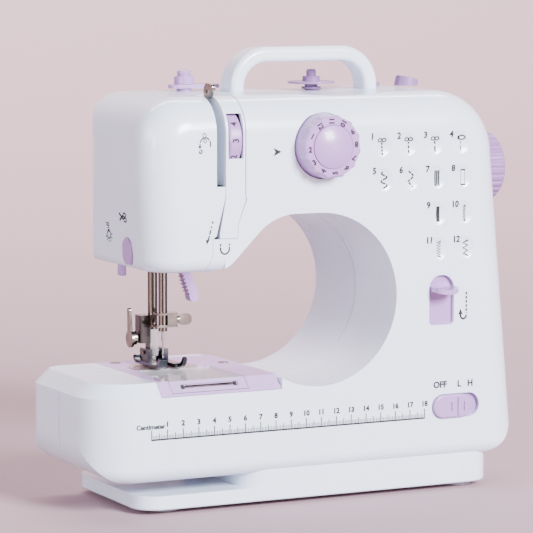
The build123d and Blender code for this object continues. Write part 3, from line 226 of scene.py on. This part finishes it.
def ink(name, tone):
    """Printed ink, slightly uneven and less glossy than the casing."""
    material, tree, shader = new_material(name)
    noise = add_noise(tree, 1500.0, detail=2.0)
    lighter = tuple(channel * 1.7 + 0.01 for channel in tone)
    ramp = add_ramp(tree, noise.outputs["Fac"], tone, lighter)
    tree.links.new(ramp.outputs["Color"], shader.inputs["Base Color"])
    vary_roughness(tree, shader, noise.outputs["Fac"], 0.5, 0.65)
    shader.inputs["Specular IOR Level"].default_value = 0.15
    return material


WHITE = moulded_plastic("white_gloss_plastic", (0.68, 0.745, 0.865), (0.705, 0.77, 0.885))
LILAC = moulded_plastic(
    "lilac_gloss_plastic", (0.37, 0.20, 0.475), (0.40, 0.225, 0.505), rough=(0.24, 0.34), coat=0.2
)
# painted shade: a darker copy of the lilac for parts that lie in shadow, and for the tension
# wheel's knurl
LILAC_PAINTED_SHADE = moulded_plastic(
    "lilac_painted_shade_plastic", (0.27, 0.135, 0.34), (0.30, 0.155, 0.37), rough=(0.3, 0.4), coat=0.1
)
LILAC_SATIN = moulded_plastic(
    "lilac_satin_plastic", (0.46, 0.28, 0.56), (0.48, 0.30, 0.58), rough=(0.3, 0.4), coat=0.1
)
GREY = moulded_plastic(
    "grey_plastic", (0.34, 0.35, 0.37), (0.38, 0.39, 0.41), rough=(0.4, 0.5), coat=0.0
)
DARK = moulded_plastic(
    "dark_plastic", (0.02, 0.02, 0.022), (0.035, 0.035, 0.04), rough=(0.35, 0.5), coat=0.0
)
CLEAR = clear_plastic("clear_plastic", (0.86, 0.84, 0.88), 0.3)
COVER_CLEAR = clear_plastic("tinted_cover", (0.80, 0.79, 0.82), 0.42)
SLOPE_TOP_Y = -0.0371  # in front of this lies the bobbin cover's slope, lilac and barely clear
split_by_position(COVER_CLEAR, "Y", SLOPE_TOP_Y, (0.50, 0.35, 0.60), low_alpha=0.9)
LENS_CLEAR = clear_plastic("frosted_lens", (0.92, 0.93, 0.95), 0.75)
STEEL = metal("nickel_steel", (0.17, 0.15, 0.13), (0.36, 0.33, 0.28), rough=(0.1, 0.22))
BRIGHT = metal("bright_steel", (0.42, 0.42, 0.42), (0.60, 0.60, 0.60), rough=(0.14, 0.26))
HOLDER = metal("shank_steel", (0.42, 0.42, 0.42), (0.60, 0.60, 0.60), rough=(0.14, 0.26))
SHANK_LEFT_X = -0.0777  # left of this the foot holder is dark
split_by_position(HOLDER, "X", SHANK_LEFT_X, (0.09, 0.085, 0.08))
# painted reflections: the bars' bright and dark streaks are painted into the colour by facing
# direction
CHROME_PAINTED_REFLECTIONS = turned_bar("chrome_painted_reflections", (
    (0.0, (0.06, 0.05, 0.04)), (0.08, (0.42, 0.37, 0.28)), (0.17, (0.30, 0.26, 0.20)),
    (0.25, (0.03, 0.025, 0.02)), (0.36, (0.10, 0.09, 0.075)), (0.46, (0.50, 0.46, 0.38)),
    (0.56, (0.12, 0.11, 0.10)), (0.9, (0.03, 0.03, 0.03)),
))
DARK_CHROME = metal("dark_chrome", (0.05, 0.055, 0.065), (0.14, 0.145, 0.16), rough=(0.08, 0.2))
PLATE_STEEL = metal(
    "brushed_plate", (0.34, 0.33, 0.32), (0.48, 0.47, 0.45), rough=(0.2, 0.32), brushed=0
)
CAST = metal(
    "cast_aluminium", (0.36, 0.37, 0.38), (0.48, 0.49, 0.50), rough=(0.4, 0.6), bump=0.25
)
RUBBER = rubber("black_rubber", (0.012, 0.012, 0.013))
PALE_RUBBER = rubber("pale_rubber", (0.36, 0.38, 0.42))
BOARD = moulded_plastic(
    "green_board", (0.01, 0.08, 0.03), (0.02, 0.12, 0.05), rough=(0.4, 0.5), coat=0.0
)
INK = ink("black_ink", (0.012, 0.012, 0.014))
DIAL_INK = ink("plum_ink", (0.03, 0.012, 0.03))

NODE_MATERIALS = {
    WHITE: (
        "front_cover", "rear_cover", "face_cover", "thread_guide_panel", "base_plate",
        "carry_handle",
    ),
    LILAC: (
        "stitch_dial", "reverse_lever", "speed_switch", "light_button", "thread_cutter",
        "tension_dial", "presser_lifter", "thread_guide_plate", "pretension_cap",
    ),
    # painted shade: these lilac parts take the darker copy
    LILAC_PAINTED_SHADE: ("handwheel", "winder_stop", "winder_spindle", "spool_pin", "spool_rest"),
    LILAC_SATIN: ("bed_trim",),
    GREY: ("stitch_cam_stack", "shaft_pulleys", "timing_pulley_lower", "motor_pulley"),
    DARK: ("bobbin_case", "power_jacks"),
    CLEAR: ("bobbin",),
    COVER_CLEAR: ("bobbin_cover",),
    LENS_CLEAR: ("lamp_lens",),
    STEEL: (
        "needle_clamp", "needle_clamp_screw", "foot_thumb_screw", "plate_screws", "take_up_lever",
        "rear_screws", "base_screws", "motor", "main_shaft", "lower_shaft", "foot_pin",
    ),
    HOLDER: ("foot_holder",),
    BRIGHT: ("bobbin_latch", "needle", "shuttle_hook", "presser_spring"),
    CHROME_PAINTED_REFLECTIONS: ("needle_bar", "presser_bar"),
    DARK_CHROME: ("presser_foot",),
    PLATE_STEEL: ("needle_plate", "feed_dog"),
    CAST: ("machine_frame", "head_frame", "shaft_bearings", "crank_disc", "feed_bar"),
    RUBBER: ("timing_belt", "drive_belt"),
    PALE_RUBBER: ("rubber_feet",),
    BOARD: ("control_board",),
}


def dress(node, material):
    """Gives a CAD node its material."""
    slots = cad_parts[node].data.materials
    if len(slots) == 0:
        slots.append(material)
    for index in range(len(slots)):
        slots[index] = material


for material, nodes in NODE_MATERIALS.items():
    for node in nodes:
        dress(node, material)


# ---- printed marks ----------------------------------------------------------------------------
# A mark is a flat shape in millimetres, a list of (u, v) points and a list of faces. It is cast
# onto the CAD surface and given the thickness of a printed film.
FRONT_LOOK = Vector((0.0, 1.0, 0.0))
LEFT_LOOK = Vector((1.0, 0.0, 0.0))
FILM_PROUD, FILM_DEPTH = 0.14 * MM, 0.3 * MM
LONGEST_EDGE = 1.6  # of a flat mark before it is cast, in millimetres
CAPITAL = 0.70  # height of a capital or digit in the built-in font at size 1


def surface_of(*nodes):
    """One ray-casting tree over the given CAD nodes."""
    vertices, polygons = [], []
    for node in nodes:
        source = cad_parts[node]
        first = len(vertices)
        vertices += [source.matrix_world @ v.co for v in source.data.vertices]
        polygons += [[first + i for i in p.vertices] for p in source.data.polygons]
    return BVHTree.FromPolygons(vertices, polygons)


def on_front(u, v):
    """u runs to the right and v upwards, for a person who sits at the machine."""
    return Vector((u * MM, -0.2, v * MM))


def on_left(u, v):
    """u runs forwards, to the right of a person who faces the machine's left end."""
    return Vector((-0.3, -u * MM, v * MM))


def stroke(points, width, closed=False):
    """A line of even width through the points."""
    count = len(points)
    left, right = [], []
    for i, (u, v) in enumerate(points):
        before = points[(i - 1) % count] if closed or i > 0 else points[i]
        after = points[(i + 1) % count] if closed or i < count - 1 else points[i]
        du, dv = after[0] - before[0], after[1] - before[1]
        length = math.hypot(du, dv)
        du, dv = du / length * width / 2, dv / length * width / 2
        left.append((u - dv, v + du))
        right.append((u + dv, v - du))
    last = count if closed else count - 1
    faces = [(i, (i + 1) % count, count + (i + 1) % count, count + i) for i in range(last)]
    return left + right, faces


def bar(u, v, width, height):
    """An upright rectangle, cut into short pieces so that it follows a curved surface."""
    steps = max(1, round(max(width, height) / 4))
    if width > height:
        return stroke([(u - width / 2 + width * i / steps, v) for i in range(steps + 1)], height)
    return stroke([(u, v - height / 2 + height * i / steps) for i in range(steps + 1)], width)


def filled(points):
    """The outline through the points, filled in."""
    return list(points), [tuple(range(len(points)))]


def ellipse(u, v, radius_u, radius_v, start=0.0, end=360.0, steps=18):
    """Points along an ellipse, counterclockwise from start to end in degrees."""
    full = end - start >= 360.0
    count = steps if full else steps + 1
    angles = [math.radians(start + (end - start) * i / steps) for i in range(count)]
    return [(u + radius_u * math.cos(a), v + radius_v * math.sin(a)) for a in angles]


def dashed(points, width, dash, space):
    """A line through the points, drawn as dashes of the given length and spacing."""
    marks, piece, travelled = [], [points[0]], 0.0
    drawing = True
    for (u0, v0), (u1, v1) in zip(points, points[1:]):
        length = math.hypot(u1 - u0, v1 - v0)
        done = 0.0
        while done < length:
            step = min(length - done, (dash if drawing else space) - travelled)
            done += step
            travelled += step
            here = (u0 + (u1 - u0) * done / length, v0 + (v1 - v0) * done / length)
            if drawing:
                piece.append(here)
            if travelled >= (dash if drawing else space) - 1e-6:
                if drawing and len(piece) > 1:
                    marks.append(stroke(piece, width))
                drawing, travelled = not drawing, 0.0
                piece = [here]
    if drawing and len(piece) > 1 and travelled > 0.2 * dash:
        marks.append(stroke(piece, width))
    return marks


def moved(shapes, du, dv, turn=0.0):
    """The shapes turned by an angle in degrees and then shifted."""
    cosine, sine = math.cos(math.radians(turn)), math.sin(math.radians(turn))
    return [
        ([(du + u * cosine - v * sine, dv + u * sine + v * cosine) for u, v in points], faces)
        for points, faces in shapes
    ]


def lettering(text, u, v, height, weight=0.0, turn=0.0, squeeze=1.0):
    """Text centred on (u, v), with capitals of the given height."""
    curve = bpy.data.curves.new("lettering", "FONT")
    curve.body = text
    curve.align_x, curve.align_y = "CENTER", "CENTER"
    curve.offset = weight
    curve.resolution_u = 3
    source = bpy.data.objects.new("lettering", curve)
    scene.collection.objects.link(source)
    depsgraph = bpy.context.evaluated_depsgraph_get()
    mesh = bpy.data.meshes.new_from_object(source.evaluated_get(depsgraph))
    scale = height / CAPITAL
    points = [(p.co.x * scale * squeeze, p.co.y * scale) for p in mesh.vertices]
    faces = [tuple(p.vertices) for p in mesh.polygons]
    bpy.data.objects.remove(source)
    bpy.data.curves.remove(curve)
    bpy.data.meshes.remove(mesh)
    return moved([(points, faces)], u, v, turn)


def add_film(sheet, shapes, surface, place, look, turned=None, proud=FILM_PROUD):
    """Casts the shapes onto the surface along look and adds the film, turned, to the sheet."""
    flat = bmesh.new()
    for points, polygons in shapes:
        corners = [flat.verts.new((u, v, 0.0)) for u, v in points]
        for polygon in polygons:
            flat.faces.new([corners[i] for i in polygon])
    bmesh.ops.triangulate(flat, faces=flat.faces[:])
    for _ in range(2):
        long_edges = [edge for edge in flat.edges if edge.calc_length() > LONGEST_EDGE]
        bmesh.ops.subdivide_edges(flat, edges=long_edges, cuts=1)
        bmesh.ops.triangulate(flat, faces=flat.faces[:])
    corners = {}
    for v in flat.verts:
        hit = surface.ray_cast(place(v.co.x, v.co.y), look)[0]
        if hit:
            corners[v] = sheet.verts.new(hit - look * proud)
    faces = [
        sheet.faces.new([corners[v] for v in face.verts])
        for face in flat.faces if all(v in corners for v in face.verts)
    ]
    flat.free()
    grown = bmesh.ops.extrude_face_region(sheet, geom=faces, use_keep_orig=True)
    behind = [item for item in grown["geom"] if isinstance(item, bmesh.types.BMVert)]
    bmesh.ops.translate(sheet, verts=behind, vec=look * FILM_DEPTH)
    if turned is not None:
        front = {v for face in faces for v in face.verts}
        bmesh.ops.transform(sheet, verts=list(front | set(behind)), matrix=turned)


def finish_piece(name, sheet, material, body):
    """Makes the sheet into a piece that rides on the body."""
    loose = [v for v in sheet.verts if not v.link_faces]
    bmesh.ops.delete(sheet, geom=loose, context="VERTS")
    bmesh.ops.recalc_face_normals(sheet, faces=sheet.faces[:])
    mesh = bpy.data.meshes.new(name)
    sheet.to_mesh(mesh)
    sheet.free()
    mesh.materials.append(material)
    piece = bpy.data.objects.new(name, mesh)
    scene.collection.objects.link(piece)
    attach(piece, body)


def print_on(name, shapes, surface, place=on_front, look=FRONT_LOOK, material=INK, body="casing"):
    """Makes one printed piece of all the shapes."""
    sheet = bmesh.new()
    add_film(sheet, shapes, surface, place, look)
    finish_piece(name, sheet, material, body)


def zigzag(teeth, swing, height):
    """A line of saw teeth, from top to bottom."""
    count = 2 * teeth
    return [(swing * (-1) ** i, height / 2 - height * i / count) for i in range(count + 1)]


def buttonhole_head():
    """The small crossed loops at the top of the first three stitches."""
    return [
        stroke(ellipse(side * 1.3, 3.3, 1.2, 1.0, steps=14), 0.75, closed=True)
        for side in (-1, 1)
    ]


def stitch_icon(number):
    """The picture of one stitch, centred on (0, 0)."""
    if number == 1:
        return buttonhole_head() + [bar(0, v, 1.0, 1.5) for v in (1.2, -0.8, -2.8, -4.7)]
    if number == 2:
        blocks = ((1.2, 1.2), (-1.2, 1.9), (-3.9, 1.9))
        return buttonhole_head() + [bar(0, v, 0.95, h) for v, h in blocks]
    if number == 3:
        return buttonhole_head() + [bar(0, v, 1.0, h) for v, h in ((0.9, 1.8), (-2.9, 3.2))]
    if number == 4:
        head = stroke(ellipse(0.3, 3.4, 2.4, 1.2, steps=16), 0.8, closed=True)
        stem = [bar(-0.2, 0.4, 0.5, 1.8), bar(-0.2, -2.9, 0.5, 3.0)]
        return [head, bar(-1.6, 3.4, 1.5, 2.0)] + stem
    if number == 5:
        wave = [(-1.9 * math.sin(0.52 * i + 0.5), 4.9 - 0.4 * i) for i in range(25)]
        return dashed(wave, 0.95, 4.2, 0.6)
    if number == 6:
        path = [(-1.4, 4.9), (1.6, 2.4), (1.6, 1.2), (-1.6, -1.4), (1.2, -4.6)]
        return dashed(path, 0.95, 2.0, 0.5)
    if number == 7:
        return [bar(u, 0, 0.9, 9.3) for u in (-1.2, 0, 1.2)]
    if number == 8:
        sides = [bar(u, 0, 0.22, 9.4) for u in (-1.3, 1.3)]
        return sides + [bar(0, v, 3.0, 0.9) for v in (-4.4, 4.4)]
    if number == 9:
        return [bar(0, 0, 2.2, 9.3)]
    teeth, swing, width = {10: (9, 0.75, 0.95), 11: (6, 1.2, 1.05), 12: (3, 1.5, 1.15)}[number]
    return [stroke(zigzag(teeth, swing, 9.4), width)]


# the casing's dimples, in which the twelve stitches are printed
DIMPLES = [
    (40.0, 211.0), (58.0, 211.0), (76.0, 211.0), (93.9, 211.0),
    (41.5, 190.5), (59.5, 190.5), (77.5, 190.5), (95.3, 190.5),
    (78.3, 168.8), (96.6, 168.8), (79.1, 147.6), (97.6, 147.6),
]

front_surface = surface_of("front_cover")
stitch_marks = []
for index, (u, v) in enumerate(DIMPLES):
    stitch_marks += lettering(str(index + 1), u - 5.4, v + 5.0, 3.7, weight=0.04)
    stitch_marks += moved(stitch_icon(index + 1), u + 1.5, v - 0.5)
print_on("stitch_chart_print", stitch_marks, front_surface)

# the arrowhead that points at the dial
arrow_mark = [filled([(-30.9, 211.6), (-25.6, 209.1), (-30.9, 206.6), (-29.5, 209.1)])]
print_on("dial_arrow_print", arrow_mark, front_surface)

# the centimetre rule along the bed
RULE_X, RULE_Z, RULE_CM = -109.1, 45.4, 18
rule_marks = [bar(RULE_X + RULE_CM * 5, RULE_Z, RULE_CM * 10 + 0.6, 0.9)]
for millimetre in range(RULE_CM * 10 + 1):
    tall, width = 2.6, 0.3
    if millimetre % 5 == 0:
        tall, width = 3.8, 0.45
    if millimetre % 10 == 0:
        tall, width = 5.7, 0.55
    rule_marks.append(bar(RULE_X + millimetre, RULE_Z + tall / 2, width, tall))
for centimetre in range(1, RULE_CM + 1):
    place_u = RULE_X + 10 * centimetre
    rule_marks += lettering(str(centimetre), place_u, RULE_Z + 8.6, 3.0, weight=0.045)
rule_marks += lettering("Centimeter", -109.6, RULE_Z + 7.6, 2.7, weight=0.035)
print_on("rule_print", rule_marks, front_surface)

# the speed switch's legend and the sign beside the reverse lever
switch_marks = []
for text, u, v in (("OFF", 81.6, 64.8), ("L", 94.8, 64.6), ("H", 102.5, 64.6)):
    switch_marks += lettering(text, u, v, 3.7, weight=0.04)
print_on("switch_print", switch_marks, front_surface)
reverse_marks = dashed([(99.4, 120.5), (99.4, 107.6)], 1.0, 1.7, 0.8)
reverse_marks.append(stroke(ellipse(97.4, 106.6, 2.0, 2.4, -190, 0, 12), 1.1))
reverse_marks.append(filled([(93.9, 107.0), (96.9, 107.0), (95.4, 110.6)]))
print_on("reverse_print", reverse_marks, front_surface)

# threading signs on the head
head_surface = surface_of("face_cover")
hook_path = ellipse(-74.6, 214.5, 3.4, 4.3, -15, 180, 16)
head_marks = dashed(hook_path, 0.75, 3.6, 0.5)
head_marks.append(stroke(ellipse(-75.1, 219.9, 1.0, 1.4, steps=12), 0.5, closed=True))
head_marks.append(stroke(ellipse(-74.7, 216.9, 0.9, 1.1, steps=12), 0.45, closed=True))
head_marks.append(filled([(-79.0, 214.2), (-77.0, 214.2), (-78.0, 212.0)]))
head_marks.append(stroke(ellipse(-77.6, 210.8, 0.9, 1.0, -200, 90, 10), 0.75))
head_marks.append(stroke([(-69.8, 170.4), (-70.2, 169.0)], 0.9))
head_marks.append(stroke([(-70.6, 167.6), (-71.0, 166.4)], 0.7))
head_marks += dashed([(-71.2, 165.4), (-72.8, 159.6)], 0.9, 2.8, 0.6)
head_marks.append(filled([(-74.4, 159.8), (-72.0, 159.6), (-73.8, 156.9)]))
print_on("threading_print", head_marks, head_surface)
turn_marks = dashed([(-65.0, 157.0), (-65.0, 154.0)], 0.95, 1.4, 0.5)
turn_marks.append(stroke(ellipse(-62.2, 154.0, 2.8, 3.0, -180, 0, 14), 0.95))
turn_marks += dashed([(-59.4, 154.0), (-59.4, 157.0)], 0.8, 1.3, 0.5)
print_on("thread_turn_print", turn_marks, front_surface)

# scissors and lamp signs on the head's left side, where u is -y
side_marks = [
    stroke([(0.4, 173.2), (6.6, 170.0)], 1.2), stroke([(1.0, 169.0), (6.4, 172.2)], 1.2),
    stroke(ellipse(8.3, 172.5, 1.9, 1.2, steps=12), 0.9, closed=True),
    stroke(ellipse(9.0, 169.7, 1.9, 1.2, steps=12), 0.9, closed=True),
]
LAMP_U, LAMP_V = -16.2, 159.0
side_marks.append(stroke(ellipse(LAMP_U, LAMP_V, 2.6, 2.2, steps=16), 0.85, closed=True))
for step, (rise, width) in enumerate(((2.8, 3.0), (4.1, 2.0), (5.5, 4.2), (6.8, 4.2))):
    side_marks.append(bar(LAMP_U - 0.4 * step, LAMP_V + rise, width, 0.8))
for angle in range(200, 375, 34):
    cosine, sine = math.cos(math.radians(angle)), math.sin(math.radians(angle))
    inner_end = (LAMP_U + 3.7 * cosine, LAMP_V + 3.3 * sine)
    outer_end = (LAMP_U + 5.0 * cosine, LAMP_V + 4.5 * sine)
    side_marks.append(stroke([inner_end, outer_end], 0.8))
print_on("side_print", side_marks, head_surface, on_left, LEFT_LOOK)

# the dial's numbers, one above each finger scoop
DIAL_X, DIAL_Z, NUMBER_R = 2.5, 211.7, 15.2
FIRST_NUMBER_ANGLE, NUMBER_STEP, NUMBER_UPRIGHT = 155.0, 30.0, 185.0
dial_surface = surface_of("stitch_dial")
dial_marks = []
for number in range(1, 13):
    angle = FIRST_NUMBER_ANGLE + NUMBER_STEP * (number - 1)
    u = DIAL_X + NUMBER_R * math.cos(math.radians(angle))
    v = DIAL_Z + NUMBER_R * math.sin(math.radians(angle))
    tilt = angle - NUMBER_UPRIGHT
    dial_marks += lettering(str(number), u, v, 3.1, weight=0.055, turn=tilt, squeeze=0.92)
print_on("dial_number_print", dial_marks, dial_surface, material=DIAL_INK, body="selector")

# ribs between the dial's finger scoops, each a low rounded ridge that runs out towards the back
RIB_FRONT, RIB_BACK, RIB_FRONT_R, RIB_BACK_R = -56.5, -45.5, 17.0, 18.7
RIB_HEIGHT, RIB_HALF_WIDTH, RIB_POINTS = 1.25, 3.2, 9
ribs = bmesh.new()
for number in range(12):
    angle = math.radians(20.0 + 30.0 * number)
    outward = Vector((math.cos(angle), 0.0, math.sin(angle)))
    across = Vector((-math.sin(angle), 0.0, math.cos(angle)))
    rings = []
    for y, radius, height in (
        (RIB_FRONT, RIB_FRONT_R, RIB_HEIGHT * 0.75),
        (RIB_FRONT + 0.8, RIB_FRONT_R + 0.75, RIB_HEIGHT),
        (RIB_FRONT + 6.0, RIB_FRONT_R + 1.3, RIB_HEIGHT * 0.8),
        (RIB_BACK, RIB_BACK_R, 0.15),
    ):
        centre = Vector((DIAL_X, y, DIAL_Z))
        ring = []
        for step in range(RIB_POINTS):
            share = 2.0 * step / (RIB_POINTS - 1) - 1.0
            swell = height * math.cos(share * math.pi / 2) ** 1.5 if abs(share) < 1.0 else 0.0
            fall = radius - math.sqrt(radius ** 2 - (share * RIB_HALF_WIDTH) ** 2)
            reach = radius - fall + swell - 0.3
            outer = centre + across * share * RIB_HALF_WIDTH + outward * reach
            ring.append(ribs.verts.new(outer * MM))
        for share in (1.0, -1.0):
            inner = centre + across * share * RIB_HALF_WIDTH * 0.8 + outward * (radius - 1.6)
            ring.append(ribs.verts.new(inner * MM))
        rings.append(ring)
    count = len(rings[0])
    for near, far in zip(rings, rings[1:]):
        for step in range(count):
            after = (step + 1) % count
            ribs.faces.new((near[step], near[after], far[after], far[step]))
    ribs.faces.new(rings[0])
    ribs.faces.new(rings[-1])
finish_piece("dial_ribs", ribs, LILAC, "selector")

# the tension wheel's numbers and its knurled edge, the knurl drawn as flat bars of painted shade,
# each turned round the wheel's axis
WHEEL_CENTRE = Vector((-0.055, -0.029, 0.2165))
WHEEL_V = 216.5
WHEEL_PROUD = 0.04 * MM  # less than other films, as the wheel turns close to the panel's slot
DIGIT_STEP, TOOTH_STEP = 34.0, 4.0
wheel_surface = surface_of("tension_dial")
digits, knurl = bmesh.new(), bmesh.new()


def round_wheel(angle):
    """A turn about the wheel's axis that carries its front upwards for positive angles."""
    spin = Matrix.Rotation(math.radians(-angle), 4, "X")
    return Matrix.Translation(WHEEL_CENTRE) @ spin @ Matrix.Translation(-WHEEL_CENTRE)


def add_to_wheel(sheet, shapes, angle):
    """Casts the shapes onto the wheel's front and turns them by the angle, in degrees."""
    turned = round_wheel(angle)
    add_film(sheet, shapes, wheel_surface, on_front, FRONT_LOOK, turned, WHEEL_PROUD)


for digit in range(10):
    shapes = lettering(str(digit), -55.3, WHEEL_V, 3.9, weight=0.03, turn=90.0)
    add_to_wheel(digits, shapes, DIGIT_STEP * (digit - 3))
for tooth in range(90):
    add_to_wheel(knurl, [bar(-52.4, WHEEL_V, 1.0, 0.5)], TOOTH_STEP * tooth)
finish_piece("tension_number_print", digits, DIAL_INK, "tension")
# the knurl's teeth are painted shade in the darker lilac, not relief
finish_piece("tension_knurl", knurl, LILAC_PAINTED_SHADE, "tension")

# ---- the metal grip in the bobbin cover's slope ---------------------------------------------
GRIP_CENTRE = Vector((-0.0702, -0.04015, 0.07445))
SLOPE_FACING = Vector((0.0, -math.sqrt(0.5), math.sqrt(0.5)))
SLOPE_UP = Vector((0.0, math.sqrt(0.5), math.sqrt(0.5)))


def rounded_bar(name, centre, length, width, depth, material):
    """A bar along X that lies on the slope, with its edges bevelled."""
    sheet = bmesh.new()
    bmesh.ops.create_cube(sheet, size=1.0)
    placing = Matrix((
        (length, 0.0, 0.0, centre.x),
        (0.0, width * SLOPE_UP.y, depth * SLOPE_FACING.y, centre.y),
        (0.0, width * SLOPE_UP.z, depth * SLOPE_FACING.z, centre.z),
        (0.0, 0.0, 0.0, 1.0),
    ))
    bmesh.ops.transform(sheet, matrix=placing, verts=sheet.verts[:])
    bmesh.ops.bevel(
        sheet, geom=sheet.edges[:], offset=min(width, depth) * 0.3, segments=3,
        affect="EDGES", profile=0.5,
    )
    finish_piece(name, sheet, material, "bobbin_door")


grip_bar_centre = GRIP_CENTRE - 0.1 * MM * SLOPE_FACING
rounded_bar("cover_grip_bar", grip_bar_centre, 0.031, 0.0014, 0.0011, STEEL)
for number, side in enumerate((-1, 1)):
    end_centre = GRIP_CENTRE + Vector((side * 0.0168, 0.0, 0.0)) - 0.4 * MM * SLOPE_FACING
    end_name = f"cover_grip_end_{number}"
    rounded_bar(end_name, end_centre, 0.0019, 0.0028, 0.0008, DARK)


# ---- stage and light ------------------------------------------------------------------------
def soft_light(name, location, size, power, tint=(1.0, 1.0, 1.0), aim=(0.0, 0.0, 0.14)):
    """A rectangular light of the given size in metres and power in watts, turned to its aim."""
    data = bpy.data.lights.new(name, "AREA")
    data.shape = "RECTANGLE"
    data.size, data.size_y = size
    data.energy = power
    data.color = tint
    light = bpy.data.objects.new(name, data)
    light.location = location
    light.rotation_euler = (Vector(aim) - Vector(location)).to_track_quat("-Z", "Y").to_euler()
    scene.collection.objects.link(light)


def build_stage():
    """A round pale floor that curves up into a pale wall on every side."""
    floor_material, _, shader = new_material("pale_sweep")
    shader.inputs["Base Color"].default_value = (0.40, 0.27, 0.30, 1.0)
    shader.inputs["Roughness"].default_value = 0.75
    radius, bend, height, around, bend_steps = 3.1, 0.7, 2.9, 72, 12
    profile = [(radius - bend, 0.0)]
    for step in range(1, bend_steps + 1):
        slope = math.radians(90 * step / bend_steps)
        profile.append((radius - bend + bend * math.sin(slope), bend - bend * math.cos(slope)))
    profile.append((radius, height))
    vertices = [(0.0, 0.0, 0.0)]
    for distance, z in profile:
        for step in range(around):
            angle = 2 * math.pi * step / around
            vertices.append((distance * math.cos(angle), distance * math.sin(angle), z))
    faces = [(0, 1 + step, 1 + (step + 1) % around) for step in range(around)]
    for ring in range(len(profile) - 1):
        low, high = 1 + ring * around, 1 + (ring + 1) * around
        for step in range(around):
            after = (step + 1) % around
            faces.append((low + step, high + step, high + after, low + after))
    mesh = bpy.data.meshes.new("sweep")
    mesh.from_pydata(vertices, [], faces)
    mesh.materials.append(floor_material)
    for face in mesh.polygons:
        face.use_smooth = True
    sweep = bpy.data.objects.new("sweep", mesh)
    scene.collection.objects.link(sweep)


build_stage()
soft_light("key", (0.55, -2.25, 1.2), (0.9, 0.8), 255.0, (0.92, 0.96, 1.0))
soft_light("left_strip", (-2.1, -1.05, 0.6), (0.16, 1.1), 24.0, (1.0, 1.0, 1.0))
soft_light("left_fill", (-1.9, -0.2, 1.0), (0.8, 0.8), 19.0, (0.66, 0.87, 1.0))
soft_light("wall", (0.5, 1.7, 2.5), (3.0, 0.6), 260.0, (1.0, 0.96, 0.96), aim=(1.1, 3.1, 0.4))
world = bpy.data.worlds.new("world")
world.use_nodes = True
background = world.node_tree.nodes["Background"]
background.inputs["Color"].default_value = (0.80, 0.88, 1.0, 1.0)
background.inputs["Strength"].default_value = 0.06
scene.world = world
